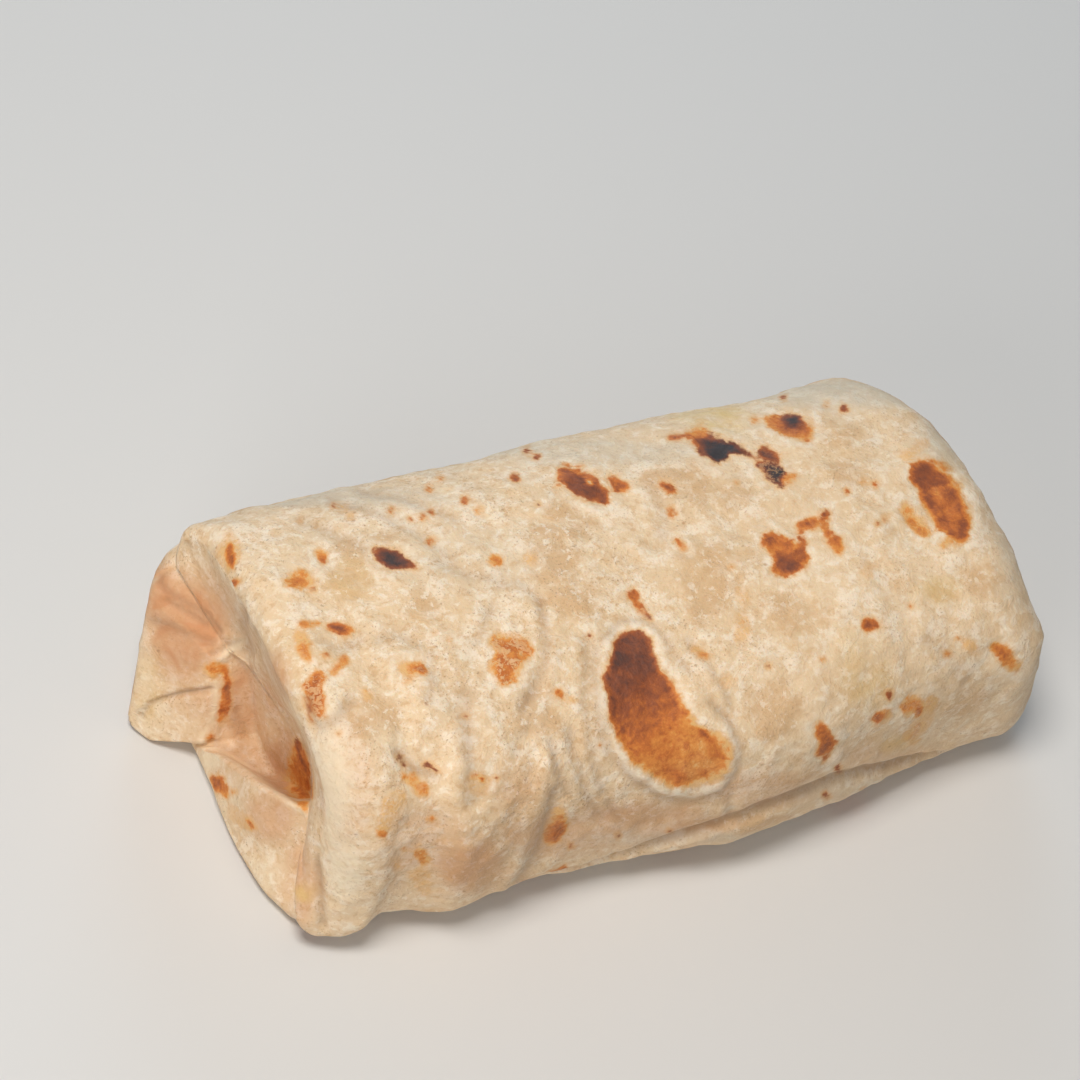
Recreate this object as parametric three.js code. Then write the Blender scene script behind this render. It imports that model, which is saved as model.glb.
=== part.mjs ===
// A burrito: one flour tortilla rolled round its filling, both ends folded shut.
// +X runs along the roll, +Z is up, the origin is the middle of the resting face.
// The deep fold is the one at -X. All sizes are millimetres and degrees.
import * as THREE from 'three';

// ---- body
const height = 60;
const sag = 0.8;              // how far the underside is pressed flat
const roundTop = 2.8;         // section squareness, upper half
const roundFar = 3.6;         // section squareness, lower far side
const roundNear = 4.4;        // section squareness, lower near side
const nearHalfWidth = {
  x: [-80, -70, -62, -50, -38, -24, -6, 5, 20, 43, 65, 90],
  size: [42.5, 42.5, 41, 44, 43, 42, 43.5, 45, 45.5, 44, 41.5, 39],
};
const farHalfWidth = { x: [-80, -40, 0, 40, 90], size: [43, 43.5, 43.5, 43, 42] };
const bodyRings = 12;
const stations = 120;         // points round each ring

// ---- folded ends: the rim plane, the rim's rolling radius and the depth of the fold
const leftEnd = {
  plane: -80,
  side: 1,
  mirrored: false,
  depth: 1,
  rim: {
    at: [0, 18, 30, 60, 90, 135, 180, 205, 222, 250, 285, 312, 335, 360],
    size: [5, 4, 3.5, 5, 6, 10, 11, 9, 6, 4.5, 3, 2.5, 4, 5],
  },
  rings: { inner: 9, face: 7, rim: 5 },
};
const rightEnd = {
  plane: -87,
  side: -1,
  mirrored: true,
  depth: 0.6,
  rim: { at: [0, 45, 90, 135, 180, 225, 270, 315, 360], size: [9, 11, 13, 17, 17, 12, 7, 7, 9] },
  rings: { inner: 6, face: 5, rim: 5 },
};

// ---- one fold: where its creases meet the outline, in degrees round the section
const wrapEdge = 18;          // edge of the outer wrap, on the gusset
const flapNear = 222;         // the lower flap meets the rim
const flapFar = 285;          // the lower flap meets the gusset
const creaseWidth = 2;

// the mouth of the fold: top edge, near corner, lip of the lower flap, edge of the gusset
const mouth = {
  at: [-75, -57, -30, 0, 18, 50, 85, 115, 145, 175, 205, 222, 240, 258, 273, 285, 303, 330, 355, 378, 410],
  y: [11.5, 16.3, 18.3, 19.5, 20, 15, 8, 0, -7, -13, -18.5, -20.5, -11, -1, 7, 11.5, 16.3, 18.3, 19.5, 20, 15],
  z: [6.5, 19, 23.5, 26.5, 29, 28.3, 28, 27.6, 27.2, 27, 27.4, 26.8, 21.3, 14.8, 9.5, 6.5, 19, 23.5, 26.5, 29, 28.3],
};
const mouthCentre = { y: 2, z: 21.5 };
const mouthDepth = { y: [-28, -21, -16, -8, 2.5, 12, 15, 20, 30], size: [-6, -7, -10, -10.5, -9, -7, -6, -3, 2] };
const floorBelowMouth = 1.2;
const rimLead = {
  at: [18, 30, 45, 60, 90, 120, 150, 185, 205, 222, 240],
  size: [4, 2.5, 0.5, 0, -1, -3, -4, -4, -2.5, -0.5, 0],
};

// the pocket behind the lip: how far along the wall, in from the lip and down behind it
const pocket = {
  wall: [0, 0.05, 0.16, 0.45, 0.8, 1, 1],
  inset: [0, 0.5, 0.9, 1.2, 1.6, 2.2, 3.5],
  sink: [0, 0, 0.08, 0.5, 0.9, 1, 0.6],
  depth: 8,
  y: -0.55,
  z: -0.83,
};

// ---- the seam on the near side, where the roll closes
const seam = { x: 24, at: 184.5, left: 0.0103, right: 0.0045, step: 1.2, groove: 1.5 };

// ---- places the box of the burrito over the origin
const centring = { x: -0.083, y: 1.14 };

function smooth(low, high, value) {
  const t = Math.min(1, Math.max(0, (value - low) / (high - low)));
  return t * t * (3 - 2 * t);
}

function mix(a, b, t) {
  return a + (b - a) * t;
}

function softMin(a, b, width) {
  const h = Math.min(1, Math.max(0, 0.5 + 0.5 * (b - a) / width));
  return b + (a - b) * h - width * h * (1 - h);
}

// smooth curve through a table of sizes, level at both ends
function curve(value, at, size) {
  const last = at.length - 1;
  let i = 0;
  while (i < last - 1 && value >= at[i + 1]) i += 1;
  const slope = (k) => (k === 0 || k === last ? 0 : (size[k + 1] - size[k - 1]) / (at[k + 1] - at[k - 1]));
  const h = at[i + 1] - at[i];
  const t = Math.min(1, Math.max(0, (value - at[i]) / h));
  const start = size[i] * (1 + 2 * t) * (1 - t) ** 2 + slope(i) * h * t * (1 - t) ** 2;
  return start + size[i + 1] * t * t * (3 - 2 * t) + slope(i + 1) * h * t * t * (t - 1);
}

// straight lines through a table of sizes
function polyline(value, size) {
  const i = Math.min(size.length - 2, Math.floor(value));
  return mix(size[i], size[i + 1], value - i);
}

// the rounded section across the roll, pressed flat underneath
function section(x, degrees) {
  const c = Math.cos(degrees * Math.PI / 180);
  const s = Math.sin(degrees * Math.PI / 180);
  const halfWidth = c > 0
    ? curve(x, farHalfWidth.x, farHalfWidth.size)
    : curve(x, nearHalfWidth.x, nearHalfWidth.size);
  const lower = (c > 0 ? roundFar : roundNear) - roundTop;
  const power = 2 / (roundTop + lower * smooth(0, 0.35, -s));
  const halfHeight = height / 2 + (s < 0 ? sag : 0);
  const y = Math.sign(c) * Math.abs(c) ** power * halfWidth;
  const z = height / 2 + Math.sign(s) * Math.abs(s) ** power * halfHeight;
  return { y, z: Math.max(0, z) };
}

// how far the folded sheets stand out of the rim plane
function foldHeight(at, y, z, toRim, mouthY) {
  const flap = smooth(flapNear - creaseWidth, flapNear + creaseWidth, at)
    * (1 - smooth(flapFar - creaseWidth, flapFar + creaseWidth, at));
  const gusset = smooth(flapFar - creaseWidth, flapFar + creaseWidth, at);
  return mix(mix(wrapHeight(at, toRim, mouthY), flapHeight(y, z), flap), gussetHeight(y, z), gusset);
}

function wrapHeight(at, toRim, mouthY) {
  const lead = curve(at, rimLead.at, rimLead.size);
  const deep = curve(mouthY, mouthDepth.y, mouthDepth.size) + 0.15 * lead;
  const rolled = smooth(120, 185, at);
  const fall = mix((1 - toRim) ** 1.05, 1 - Math.sin(Math.PI / 2 * toRim), rolled);
  return deep * fall + lead * toRim;
}

function flapHeight(y, z) {
  const near = Math.max(0, -6 - y) ** 2;
  return 3.8 - 0.23 * Math.max(0, z - 4) - 0.012 * near * smooth(0, 20, z) - 0.004 * near;
}

function gussetHeight(y, z) {
  const upper = softMin(0.8 + 0.602 * y - 0.496 * z, 4.5 + 0.7 * (43 - y), 2);
  const lower = -2.2 + 0.76 * y - 0.42 * z;
  return softMin(upper, lower, 1);
}

function floorHeight(y) {
  return curve(y, mouthDepth.y, mouthDepth.size) - floorBelowMouth;
}

// one line of the fold, from the middle of the mouth out over the rim
function foldLine(end, degrees) {
  const own = end.mirrored ? (540 - degrees) % 360 : degrees;
  const at = own < wrapEdge ? own + 360 : own;
  const flip = end.mirrored ? -1 : 1;
  const radius = curve(own, end.rim.at, end.rim.size);
  const edge = { y: curve(at, mouth.at, mouth.y), z: curve(at, mouth.at, mouth.z) };
  const height = (y, z, toRim) => foldHeight(at, y, z, toRim, edge.y);
  let x = end.plane + radius;
  let outline = section(end.side * x, degrees);
  for (let pass = 0; pass < 3; pass += 1) {
    outline = section(end.side * x, degrees);
    x = end.plane - height(outline.y * flip, outline.z, 1) * end.depth + radius;
  }
  outline = { y: outline.y * flip, z: outline.z };
  const points = [
    ...pocketLine(end, at, edge, height(edge.y, edge.z, 0)),
    ...faceLine(end, edge, outline, radius, height),
    ...rimLine(end, edge, outline, radius, height),
  ];
  return points.map(([px, py, pz]) => [px * end.side, py * flip, pz]);
}

function pocketLine(end, at, edge, edgeHeight) {
  const run = Math.hypot(edge.y - mouthCentre.y, edge.z - mouthCentre.z);
  const uy = (edge.y - mouthCentre.y) / run;
  const uz = (edge.z - mouthCentre.z) / run;
  const sinking = smooth(232, 246, at) * (1 - smooth(272, 284, at));
  const points = [];
  for (let i = 0; i < end.rings.inner; i += 1) {
    const v = 1 - i / end.rings.inner;
    const step = Math.min(6, (1 - v) / 0.6 * 6);
    const inset = Math.min(polyline(step, pocket.inset), run * 0.3);
    const fade = v < 0.4 ? v / 0.4 : 1;
    const sink = pocket.depth * sinking * (v < 0.4 ? 0.6 * fade ** 2 : polyline(step, pocket.sink));
    const y = mix(mouthCentre.y, edge.y - uy * inset, fade);
    const z = mix(mouthCentre.z, edge.z - uz * inset, fade);
    const out = mix(edgeHeight, floorHeight(y), v < 0.4 ? 1 : polyline(step, pocket.wall));
    points.push([end.plane - out * end.depth, y + sink * pocket.y, z + sink * pocket.z]);
  }
  return points.reverse();
}

function faceLine(end, edge, outline, radius, height) {
  const run = Math.hypot(outline.y - edge.y, outline.z - edge.z);
  const reach = 1 - Math.min(radius, 0.8 * run) / run;
  const points = [];
  for (let i = 1; i <= end.rings.face; i += 1) {
    const toRim = i / end.rings.face;
    const y = mix(edge.y, outline.y, toRim * reach);
    const z = mix(edge.z, outline.z, toRim * reach);
    points.push([end.plane - height(y, z, toRim) * end.depth, y, z]);
  }
  return points;
}

function rimLine(end, edge, outline, radius, height) {
  const run = Math.hypot(outline.y - edge.y, outline.z - edge.z);
  const r = Math.min(radius, 0.8 * run);
  const points = [];
  for (let i = 1; i <= end.rings.rim; i += 1) {
    const turn = i / end.rings.rim * Math.PI / 2;
    const inset = r * (1 - Math.sin(turn)) / run;
    const y = mix(outline.y, edge.y, inset);
    const z = mix(outline.z, edge.z, inset);
    points.push([end.plane - height(y, z, 1) * end.depth + r * (1 - Math.cos(turn)), y, z]);
  }
  return points;
}

// soft swells of the filling under the sheet
function swell(x, degrees) {
  const a = degrees * Math.PI / 180;
  const broad = 0.45 * Math.sin(x / 13 + 1.1) * Math.sin(2 * a + 0.6);
  const close = 0.4 * Math.sin(x / 7.3 - 0.4 + 3 * a) * Math.sin(x / 19 + 2.2);
  return (broad + close) * smooth(-0.75, 0.1, Math.sin(a));
}

// the outer flap ends in a low step, with a groove along its edge
function seamRelief(x, degrees) {
  const bend = x < seam.x ? seam.left : seam.right;
  const below = (degrees - seam.at - bend * (x - seam.x) ** 2) * 0.75;
  const fade = smooth(-40, -12, x) * (1 - smooth(62, 78, x));
  const ledge = below > 0 ? seam.step * Math.exp(-below / 14) : 0;
  return fade * (ledge * smooth(0, 1.5, below) - seam.groove * Math.exp(-(((below + 1) / 2.6) ** 2)));
}

function bodyPoint(start, end, part, degrees) {
  const x = mix(start[0], end[0], part);
  const { y, z } = section(x, degrees);
  const inside = smooth(0, 12, x - start[0]) * smooth(0, 14, end[0] - x);
  const relief = (swell(x, degrees) + seamRelief(x, degrees)) * inside;
  const run = Math.hypot(y, z - height / 2);
  return [x, y + relief * y / run, Math.max(0, z + relief * (z - height / 2) / run)];
}

// all rings of the skin, from the -X mouth to the +X mouth
function skinLines() {
  const lines = [];
  for (let i = 0; i < stations; i += 1) {
    const degrees = i * 360 / stations;
    const left = foldLine(leftEnd, degrees);
    const right = foldLine(rightEnd, degrees).reverse();
    const body = [];
    for (let k = 1; k < bodyRings; k += 1) {
      body.push(bodyPoint(left[left.length - 1], right[0], k / bodyRings, degrees));
    }
    lines.push([...left, ...body, ...right]);
  }
  return lines;
}

function poleOf(end) {
  const out = floorHeight(mouthCentre.y) * end.depth;
  return [end.side * (end.plane - out), (end.mirrored ? -1 : 1) * mouthCentre.y, mouthCentre.z];
}

function skinGeometry() {
  const lines = skinLines();
  const rings = lines[0].length;
  const positions = [...poleOf(leftEnd), ...lines.flat(2), ...poleOf(rightEnd)];
  const index = [];
  const id = (station, ring) => 1 + (station % stations) * rings + ring;
  const lastPole = 1 + stations * rings;
  for (let i = 0; i < stations; i += 1) {
    index.push(0, id(i + 1, 0), id(i, 0));
    index.push(lastPole, id(i, rings - 1), id(i + 1, rings - 1));
    for (let k = 0; k < rings - 1; k += 1) {
      index.push(id(i, k), id(i + 1, k), id(i, k + 1));
      index.push(id(i + 1, k), id(i + 1, k + 1), id(i, k + 1));
    }
  }
  const geometry = new THREE.BufferGeometry();
  geometry.setAttribute('position', new THREE.Float32BufferAttribute(positions, 3));
  geometry.setIndex(index);
  geometry.translate(centring.x, centring.y, 0);
  geometry.computeVertexNormals();
  return geometry;
}

function tortillaMaterial() {
  return new THREE.MeshStandardMaterial({ color: 0xdfc9a3, roughness: 0.8, metalness: 0 });
}

function burrito() {
  const mesh = new THREE.Mesh(skinGeometry(), tortillaMaterial());
  mesh.name = 'burrito';
  return mesh;
}

const part = new THREE.Group();
part.name = 'burrito_part';
part.add(burrito());

export default part;
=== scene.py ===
import math

import bpy
import numpy as np
from mathutils import Matrix


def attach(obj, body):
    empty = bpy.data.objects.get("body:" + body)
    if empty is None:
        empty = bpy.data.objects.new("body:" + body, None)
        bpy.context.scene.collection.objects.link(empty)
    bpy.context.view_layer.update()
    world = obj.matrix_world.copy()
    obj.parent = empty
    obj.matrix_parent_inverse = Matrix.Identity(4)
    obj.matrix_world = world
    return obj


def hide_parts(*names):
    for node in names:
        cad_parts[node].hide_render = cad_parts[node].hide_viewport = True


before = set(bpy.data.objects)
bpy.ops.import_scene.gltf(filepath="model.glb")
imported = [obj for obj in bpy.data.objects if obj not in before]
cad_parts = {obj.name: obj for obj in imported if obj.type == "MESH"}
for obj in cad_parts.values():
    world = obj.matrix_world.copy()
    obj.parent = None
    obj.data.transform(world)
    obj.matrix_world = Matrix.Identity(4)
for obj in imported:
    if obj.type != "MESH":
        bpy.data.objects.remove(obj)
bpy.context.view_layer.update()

# the whole burrito is moved by this much, in millimetres, so that its box stands over the origin
centring = np.array([-0.351, 1.337, 0.0])


# 0 below low, 1 above high, an S in between: three t squared less two t cubed
def smooth(low, high, value):
    t = np.clip((value - low) / (high - low), 0, 1)
    return t * t * (3 - 2 * t)


# from a to b in a straight line, as t goes from 0 to 1
def mix(a, b, t):
    return a + (b - a) * t


# the lesser of a and b, with the corner rounded over width
def softMin(a, b, width):
    h = np.clip(0.5 + 0.5 * (b - a) / width, 0, 1)
    return b + (a - b) * h - width * h * (1 - h)


# a smooth curve through the sizes given at the places, level at both ends: a cubic between neighbours, whose slope
# at each place is the rise over the run from the one before it to the one after
def curve(value, at, size):
    at, size = np.array(at, float), np.array(size, float)
    slope = np.zeros(len(at))
    slope[1:-1] = (size[2:] - size[:-2]) / (at[2:] - at[:-2])
    i = np.clip(np.searchsorted(at, value, side="right") - 1, 0, len(at) - 2)
    h = at[i + 1] - at[i]
    t = np.clip((value - at[i]) / h, 0, 1)
    start = size[i] * (1 + 2 * t) * (1 - t) ** 2 + slope[i] * h * t * (1 - t) ** 2
    return start + size[i + 1] * t * t * (3 - 2 * t) + slope[i + 1] * h * t * t * (t - 1)


# where the camera stands round the burrito, in degrees and millimetres
camera = {
    "azimuth": -36.252,
    "elevation": 52.0,
    "roll": 16.644,
    "distance": 800.0,
    "focal": 3782.401,          # in pixels of the 1080 frame
    "aim": [-12.876, 21.477],   # along the view's right and up, off the middle
    "aimHeight": 28.0,
    "frame": 1080,
    "sensor": 36.0,
    "clip": 0.05,               # in metres
}


# three directions: from the burrito to the camera, the view's right and the view's up
def cameraAxes():
    a, e, r = (math.radians(camera[k]) for k in ("azimuth", "elevation", "roll"))
    back = np.array([math.sin(a) * math.cos(e), -math.cos(a) * math.cos(e), math.sin(e)])
    level = np.array([math.cos(a), math.sin(a), 0.0])
    above = np.cross(back, level)
    right = math.cos(r) * level + math.sin(r) * above
    up = math.cos(r) * above - math.sin(r) * level
    return back, right, up


back, right, up = cameraAxes()
aimPoint = np.array([0, 0, camera["aimHeight"]]) + right * camera["aim"][0] + up * camera["aim"][1] + centring


# where points fall in the camera's frame: focal length times sideways offset over the distance in front
def toView(points):
    d = points - aimPoint
    depth = camera["distance"] - d @ back
    half = camera["frame"] / 2
    return half + camera["focal"] * (d @ right) / depth, half - camera["focal"] * (d @ up) / depth


# a placing matrix whose columns are three directions and a place
def standing(side, top, away, place):
    columns = np.eye(4)
    columns[:3] = np.stack([side, top, away, place], 1)
    return Matrix(columns.tolist())


# the lens in millimetres is the focal length over the frame's width, times the sensor's width
def makeCamera():
    lens = bpy.data.cameras.new("camera")
    lens.sensor_width = camera["sensor"]
    lens.lens = camera["focal"] / camera["frame"] * camera["sensor"]
    lens.clip_start = camera["clip"]
    eye = bpy.data.objects.new("camera", lens)
    place = (aimPoint + back * camera["distance"]) / 1000
    eye.matrix_world = standing(right, up, back, place)
    bpy.context.scene.collection.objects.link(eye)
    bpy.context.scene.camera = eye


# the rolled body: its section, and its half widths along the roll, in millimetres
body = {
    "height": 60.0,
    "sag": 0.8,                 # how far the underside is pressed flat
    "roundTop": 2.8,            # how square the corners are
    "roundFar": 3.4,
    "roundNear": 4.4,
    "nearAt": [-80, -70, -62, -50, -38, -24, -6, 5, 20, 43, 65, 90],
    "nearHalf": [42.5, 43, 40, 44, 43, 42, 42.5, 44.5, 45.5, 42.5, 38.5, 38.5],
    "farAt": [-80, -40, 0, 40, 90],
    "farHalf": [42.5, 43.5, 43, 43, 42.5],
    "easeLeft": 12,             # the relief dies away this far from each rim
    "easeRight": 14,
    "rings": 150,
    "stations": 380,
}

# how the stations are shared out round the section, in degrees
spacing = {
    "sparse": 0.55,             # this much fewer underneath
    "underside": [232, 262, 335, 352],
    "denser": 1.2,              # this much more at each crease
    "creases": [18, 222, 285, 303],
    "reach": 3.5,
}


# section: y = half width * |cos|^(2/n), z = middle + half height * |sin|^(2/n), never below the floor
def section(x, degrees):
    c, s = np.cos(np.radians(degrees)), np.sin(np.radians(degrees))
    near = curve(x, body["nearAt"], body["nearHalf"])
    far = curve(x, body["farAt"], body["farHalf"])
    lower = np.where(c > 0, body["roundFar"], body["roundNear"]) - body["roundTop"]
    power = 2 / (body["roundTop"] + lower * smooth(0, 0.35, -s))
    half = body["height"] / 2
    y = np.sign(c) * np.abs(c) ** power * np.where(c > 0, far, near)
    z = half + np.sign(s) * np.abs(s) ** power * (half + np.where(s < 0, body["sag"], 0))
    return y, np.maximum(z, 0)


# stations spread along the section: the running sum of its length times the density, cut into equal parts
def spreadStations():
    fine = np.linspace(0, 360, 72001)
    y, z = section(np.zeros_like(fine), fine)
    step = np.hypot(np.diff(y), np.diff(z))
    middle = (fine[1:] + fine[:-1]) / 2
    thinFrom, thinFull, fullTo, thinTo = spacing["underside"]
    density = 1 - spacing["sparse"] * smooth(thinFrom, thinFull, middle) * (1 - smooth(fullTo, thinTo, middle))
    creases = sum(np.exp(-((middle - at) / spacing["reach"]) ** 2) for at in spacing["creases"])
    weight = np.concatenate([[0], np.cumsum(step * (density + spacing["denser"] * creases))])
    return np.interp(np.arange(body["stations"]) / body["stations"] * weight[-1], weight, fine)


# the folded ends: the plane of the rim, its radius round the section in degrees, and how deep the fold is
leftEnd = {
    "plane": -80.0,
    "side": 1,
    "mirrored": False,
    "ease": 0.0,
    "depth": 1.0,
    "rimAt": [0, 18, 30, 60, 90, 135, 180, 205, 222, 250, 285, 312, 335, 360],
    "rimSize": [5, 7, 3, 5, 6, 10, 11, 9, 6, 5.5, 3.5, 3, 4, 5],
    "rings": [22, 34, 15],      # inside the mouth, across the face, over the rim
}
rightEnd = {
    "plane": -87.0,
    "side": -1,
    "mirrored": True,
    "ease": 1.0,
    "depth": 0.6,
    "rimAt": [0, 45, 90, 135, 180, 225, 270, 315, 360],
    "rimSize": [10, 14, 14.5, 18.5, 16, 11, 7, 7, 10],
    "rings": [12, 16, 12],
}
fold = {
    "wrapEdge": 18.0,           # where the creases meet the outline, degrees round the section
    "flapNear": 222.0,
    "flapFar": 285.0,
    "crease": 2.0,
    "tuckWidth": 14.0,          # the gusset dips under the edge of the wrap
    "tuckSlope": 0.07,
    "easeWidth": 40.0,
    "mouthAt": [-75, -57, -30, 0, 18, 50, 85, 115, 145, 175, 205,
                222, 240, 258, 273, 285, 303, 330, 355, 378, 410],
    "mouthY": [11.5, 16.3, 18.3, 19.5, 20, 15, 8, 0, -7, -13, -18.5,
               -20.5, -11, -1, 7, 11.5, 16.3, 18.3, 19.5, 20, 15],
    "mouthZ": [6.5, 19, 23.5, 26.5, 29, 28.3, 28, 27.6, 27.2, 27, 27.4,
               26.8, 21.3, 14.8, 9.5, 6.5, 19, 23.5, 26.5, 29, 28.3],
    "centre": [2.0, 21.5],
    "depthY": [-28, -21, -16, -8, 2.5, 12, 15, 20, 30],
    "depthSize": [-6, -7, -10, -10.5, -9, -7, -6, -3, 2],
    "floorBelow": 1.2,
    "rolled": [120, 185],       # from the straight top to the rolled near side
    "wrapFall": 1.05,
    "leadShare": 0.15,
    "leadAt": [18, 30, 45, 60, 90, 120, 150, 185, 205, 222, 240],
    "leadSize": [4, 2.5, 0.5, 0, -1, -3, -4, -3.5, -2, 0, 0],
    "flapOut": 3.8,             # how far the lower flap stands out at its foot
    "flapLean": 0.23,
    "flapSide": -6,
    "flapBow": [0.012, 0.0055],
    "flapRise": [4, 20],
    "gussetUpper": [1, 0.67, -0.44],    # a facet's offset, and its slopes along y and z
    "gussetCap": [28.22, -0.54, 0],
    "gussetLower": [-1.6, 0.74, -0.42],
    "pocketWall": [0, 0.05, 0.16, 0.45, 0.8, 1, 1],
    "pocketInset": [0, 0.5, 0.9, 1.2, 1.6, 2.2, 3.5],
    "pocketSink": [0, 0, 0.08, 0.5, 0.9, 1, 0.6],
    "pocketDepth": 8.0,
    "pocketWay": [-0.55, -0.83],
    "pocketStarts": [224, 240],
    "pocketEnds": [272, 284],
}


# height of the mouth's floor below the rim plane, from how far across it lies
def floorHeight(y):
    return curve(y, fold["depthY"], fold["depthSize"]) - fold["floorBelow"]


# outer wrap: its height at the rim fades into its depth at the mouth, straight on top and rolled on the near side
def wrapHeight(at, toRim, mouthY):
    lead = curve(at, fold["leadAt"], fold["leadSize"])
    deep = curve(mouthY, fold["depthY"], fold["depthSize"]) + fold["leadShare"] * lead
    rolled = smooth(*fold["rolled"], at)
    fall = mix((1 - toRim) ** fold["wrapFall"], 1 - np.sin(np.pi / 2 * toRim), rolled)
    return deep * fall + lead * toRim


# lower flap: a slope that leans in upwards, less a bow that grows with the square of the way to the near side
def flapHeight(y, z):
    near = np.maximum(0, fold["flapSide"] - y) ** 2
    upper, whole = fold["flapBow"]
    foot, top = fold["flapRise"]
    lean = fold["flapLean"] * np.maximum(0, z - foot)
    return fold["flapOut"] - lean - upper * near * smooth(0, top, z) - whole * near


# a flat facet: its offset, and its slopes times y and z
def facet(name, y, z):
    offset, alongY, alongZ = fold[name]
    return offset + alongY * y + alongZ * z


# gusset: the lower of two facets that meet along its middle crease, the upper one capped towards the far side
def gussetHeight(y, z):
    upper = softMin(facet("gussetUpper", y, z), facet("gussetCap", y, z), 2)
    return softMin(upper, facet("gussetLower", y, z), 1)


# the three sheets joined across their creases by an S; ease 1 lets the step at the edge of the wrap die away towards
# the rim
def foldHeight(at, y, z, toRim, mouthY, ease):
    c = fold["crease"]
    flap = smooth(fold["flapNear"] - c, fold["flapNear"] + c, at)
    flap = flap * (1 - smooth(fold["flapFar"] - c, fold["flapFar"] + c, at))
    gusset = smooth(fold["flapFar"] - c, fold["flapFar"] + c, at)
    sheets = mix(wrapHeight(at, toRim, mouthY), flapHeight(y, z), flap)
    edge = fold["wrapEdge"] + 360
    tucked = fold["tuckSlope"] * (y + z) * smooth(edge - fold["tuckWidth"], edge, at)
    eased = ease * toRim * smooth(edge - fold["easeWidth"], edge, at)
    wrap = wrapHeight(np.full_like(at, fold["wrapEdge"]), toRim, mouthY)
    return mix(sheets, mix(gussetHeight(y, z) - tucked, wrap, eased), gusset)


# rings from the middle of the mouth, over its lip, straight across the face and round the rim in a quarter turn
def foldRings(end, degrees):
    own = (540 - degrees) % 360 if end["mirrored"] else degrees
    flip = -1 if end["mirrored"] else 1
    at = np.where(own < fold["wrapEdge"], own + 360, own)
    radius = curve(own, end["rimAt"], end["rimSize"])
    edgeY = curve(at, fold["mouthAt"], fold["mouthY"])
    edgeZ = curve(at, fold["mouthAt"], fold["mouthZ"])
    x = end["plane"] + radius
    for _ in range(4):
        outY, outZ = section(end["side"] * x, degrees)
        outY = outY * flip
        x = end["plane"] - foldHeight(at, outY, outZ, 1.0, edgeY, end["ease"]) * end["depth"] + radius
    rings = []
    inner, face, rim = end["rings"]
    midY, midZ = fold["centre"]
    run = np.hypot(edgeY - midY, edgeZ - midZ)
    wayY, wayZ = (edgeY - midY) / run, (edgeZ - midZ) / run
    sinking = smooth(*fold["pocketStarts"], at) * (1 - smooth(*fold["pocketEnds"], at))
    edgeHeight = foldHeight(at, edgeY, edgeZ, 0.0, edgeY, end["ease"])
    for i in range(inner - 1, -1, -1):
        v = 1 - i / inner
        step = min(6.0, (1 - v) / 0.6 * 6)
        fade = min(1.0, v / 0.4)
        inset = np.minimum(np.interp(step, range(7), fold["pocketInset"]), run * 0.3)
        sink = 0.6 * fade ** 2 if v < 0.4 else np.interp(step, range(7), fold["pocketSink"])
        sink = fold["pocketDepth"] * sinking * sink
        y = mix(midY, edgeY - wayY * inset, fade)
        z = mix(midZ, edgeZ - wayZ * inset, fade)
        out = mix(edgeHeight, floorHeight(y), np.interp(step, range(7), fold["pocketWall"]))
        rings.append([end["plane"] - out * end["depth"],
                      y + sink * fold["pocketWay"][0], z + sink * fold["pocketWay"][1]])
    span = np.hypot(outY - edgeY, outZ - edgeZ)
    r = np.minimum(radius, 0.8 * span)
    for i in range(1, face + 1):
        part = i / face
        y = mix(edgeY, outY, part * (1 - r / span))
        z = mix(edgeZ, outZ, part * (1 - r / span))
        rings.append([end["plane"] - foldHeight(at, y, z, part, edgeY, end["ease"]) * end["depth"], y, z])
    for i in range(1, rim + 1):
        turn = i / rim * np.pi / 2
        inset = r * (1 - np.sin(turn)) / span
        y, z = mix(outY, edgeY, inset), mix(outZ, edgeZ, inset)
        height = foldHeight(at, y, z, 1.0, edgeY, end["ease"]) * end["depth"]
        rings.append([end["plane"] - height + r * (1 - np.cos(turn)), y, z])
    rings = np.array([[end["side"] * rx, flip * ry, rz] for rx, ry, rz in rings])
    return np.moveaxis(rings, 1, 2)


# the seam where the outer flap ends low on the near side
seam = {
    "x": 24,                    # its highest place, along the roll and in degrees round it
    "at": 187,
    "left": 0.0115,             # how fast it bends down to each side
    "right": 0.009,
    "perDegree": 0.75,          # millimetres
    "starts": [-40, -12],
    "ends": [62, 78],
    "step": 1.2,
    "stepReach": 14,
    "groove": 1.4,
    "grooveWidth": 1.9,
    # the painted shade along the seam: its width and strength
    "shadeWidth": 1.4,
    "paintedShade": 1.3,
}

# heights and wave lengths of the filling's soft swells
swells = {"broad": 0.45, "broadWave": 13, "close": 0.4, "closeWave": 7.3, "acrossWave": 19}


# two products of sines, none underneath
def swell(x, degrees):
    a = np.radians(degrees)
    broad = swells["broad"] * np.sin(x / swells["broadWave"] + 1.1) * np.sin(2 * a + 0.6)
    close = swells["close"] * np.sin(x / swells["closeWave"] - 0.4 + 3 * a) * np.sin(x / swells["acrossWave"] + 2.2)
    return (broad + close) * smooth(-0.75, 0.1, np.sin(a))


# millimetres below the seam, which bends down with the square of x, and how much of the seam is left at that x
def belowSeam(x, degrees):
    bend = np.where(x < seam["x"], seam["left"], seam["right"])
    below = (degrees - seam["at"] - bend * (x - seam["x"]) ** 2) * seam["perDegree"]
    return below, smooth(*seam["starts"], x) * (1 - smooth(*seam["ends"], x))


# the outer flap ends in a low step that dies away below it, with a groove along its edge
def seamRelief(x, degrees):
    below, fade = belowSeam(x, degrees)
    ledge = np.where(below > 0, seam["step"] * np.exp(-np.maximum(below, 0) / seam["stepReach"]), 0)
    ledge *= smooth(0, 1.5, below)
    return fade * (ledge - seam["groove"] * np.exp(-((below + 1) / seam["grooveWidth"]) ** 2))


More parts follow.
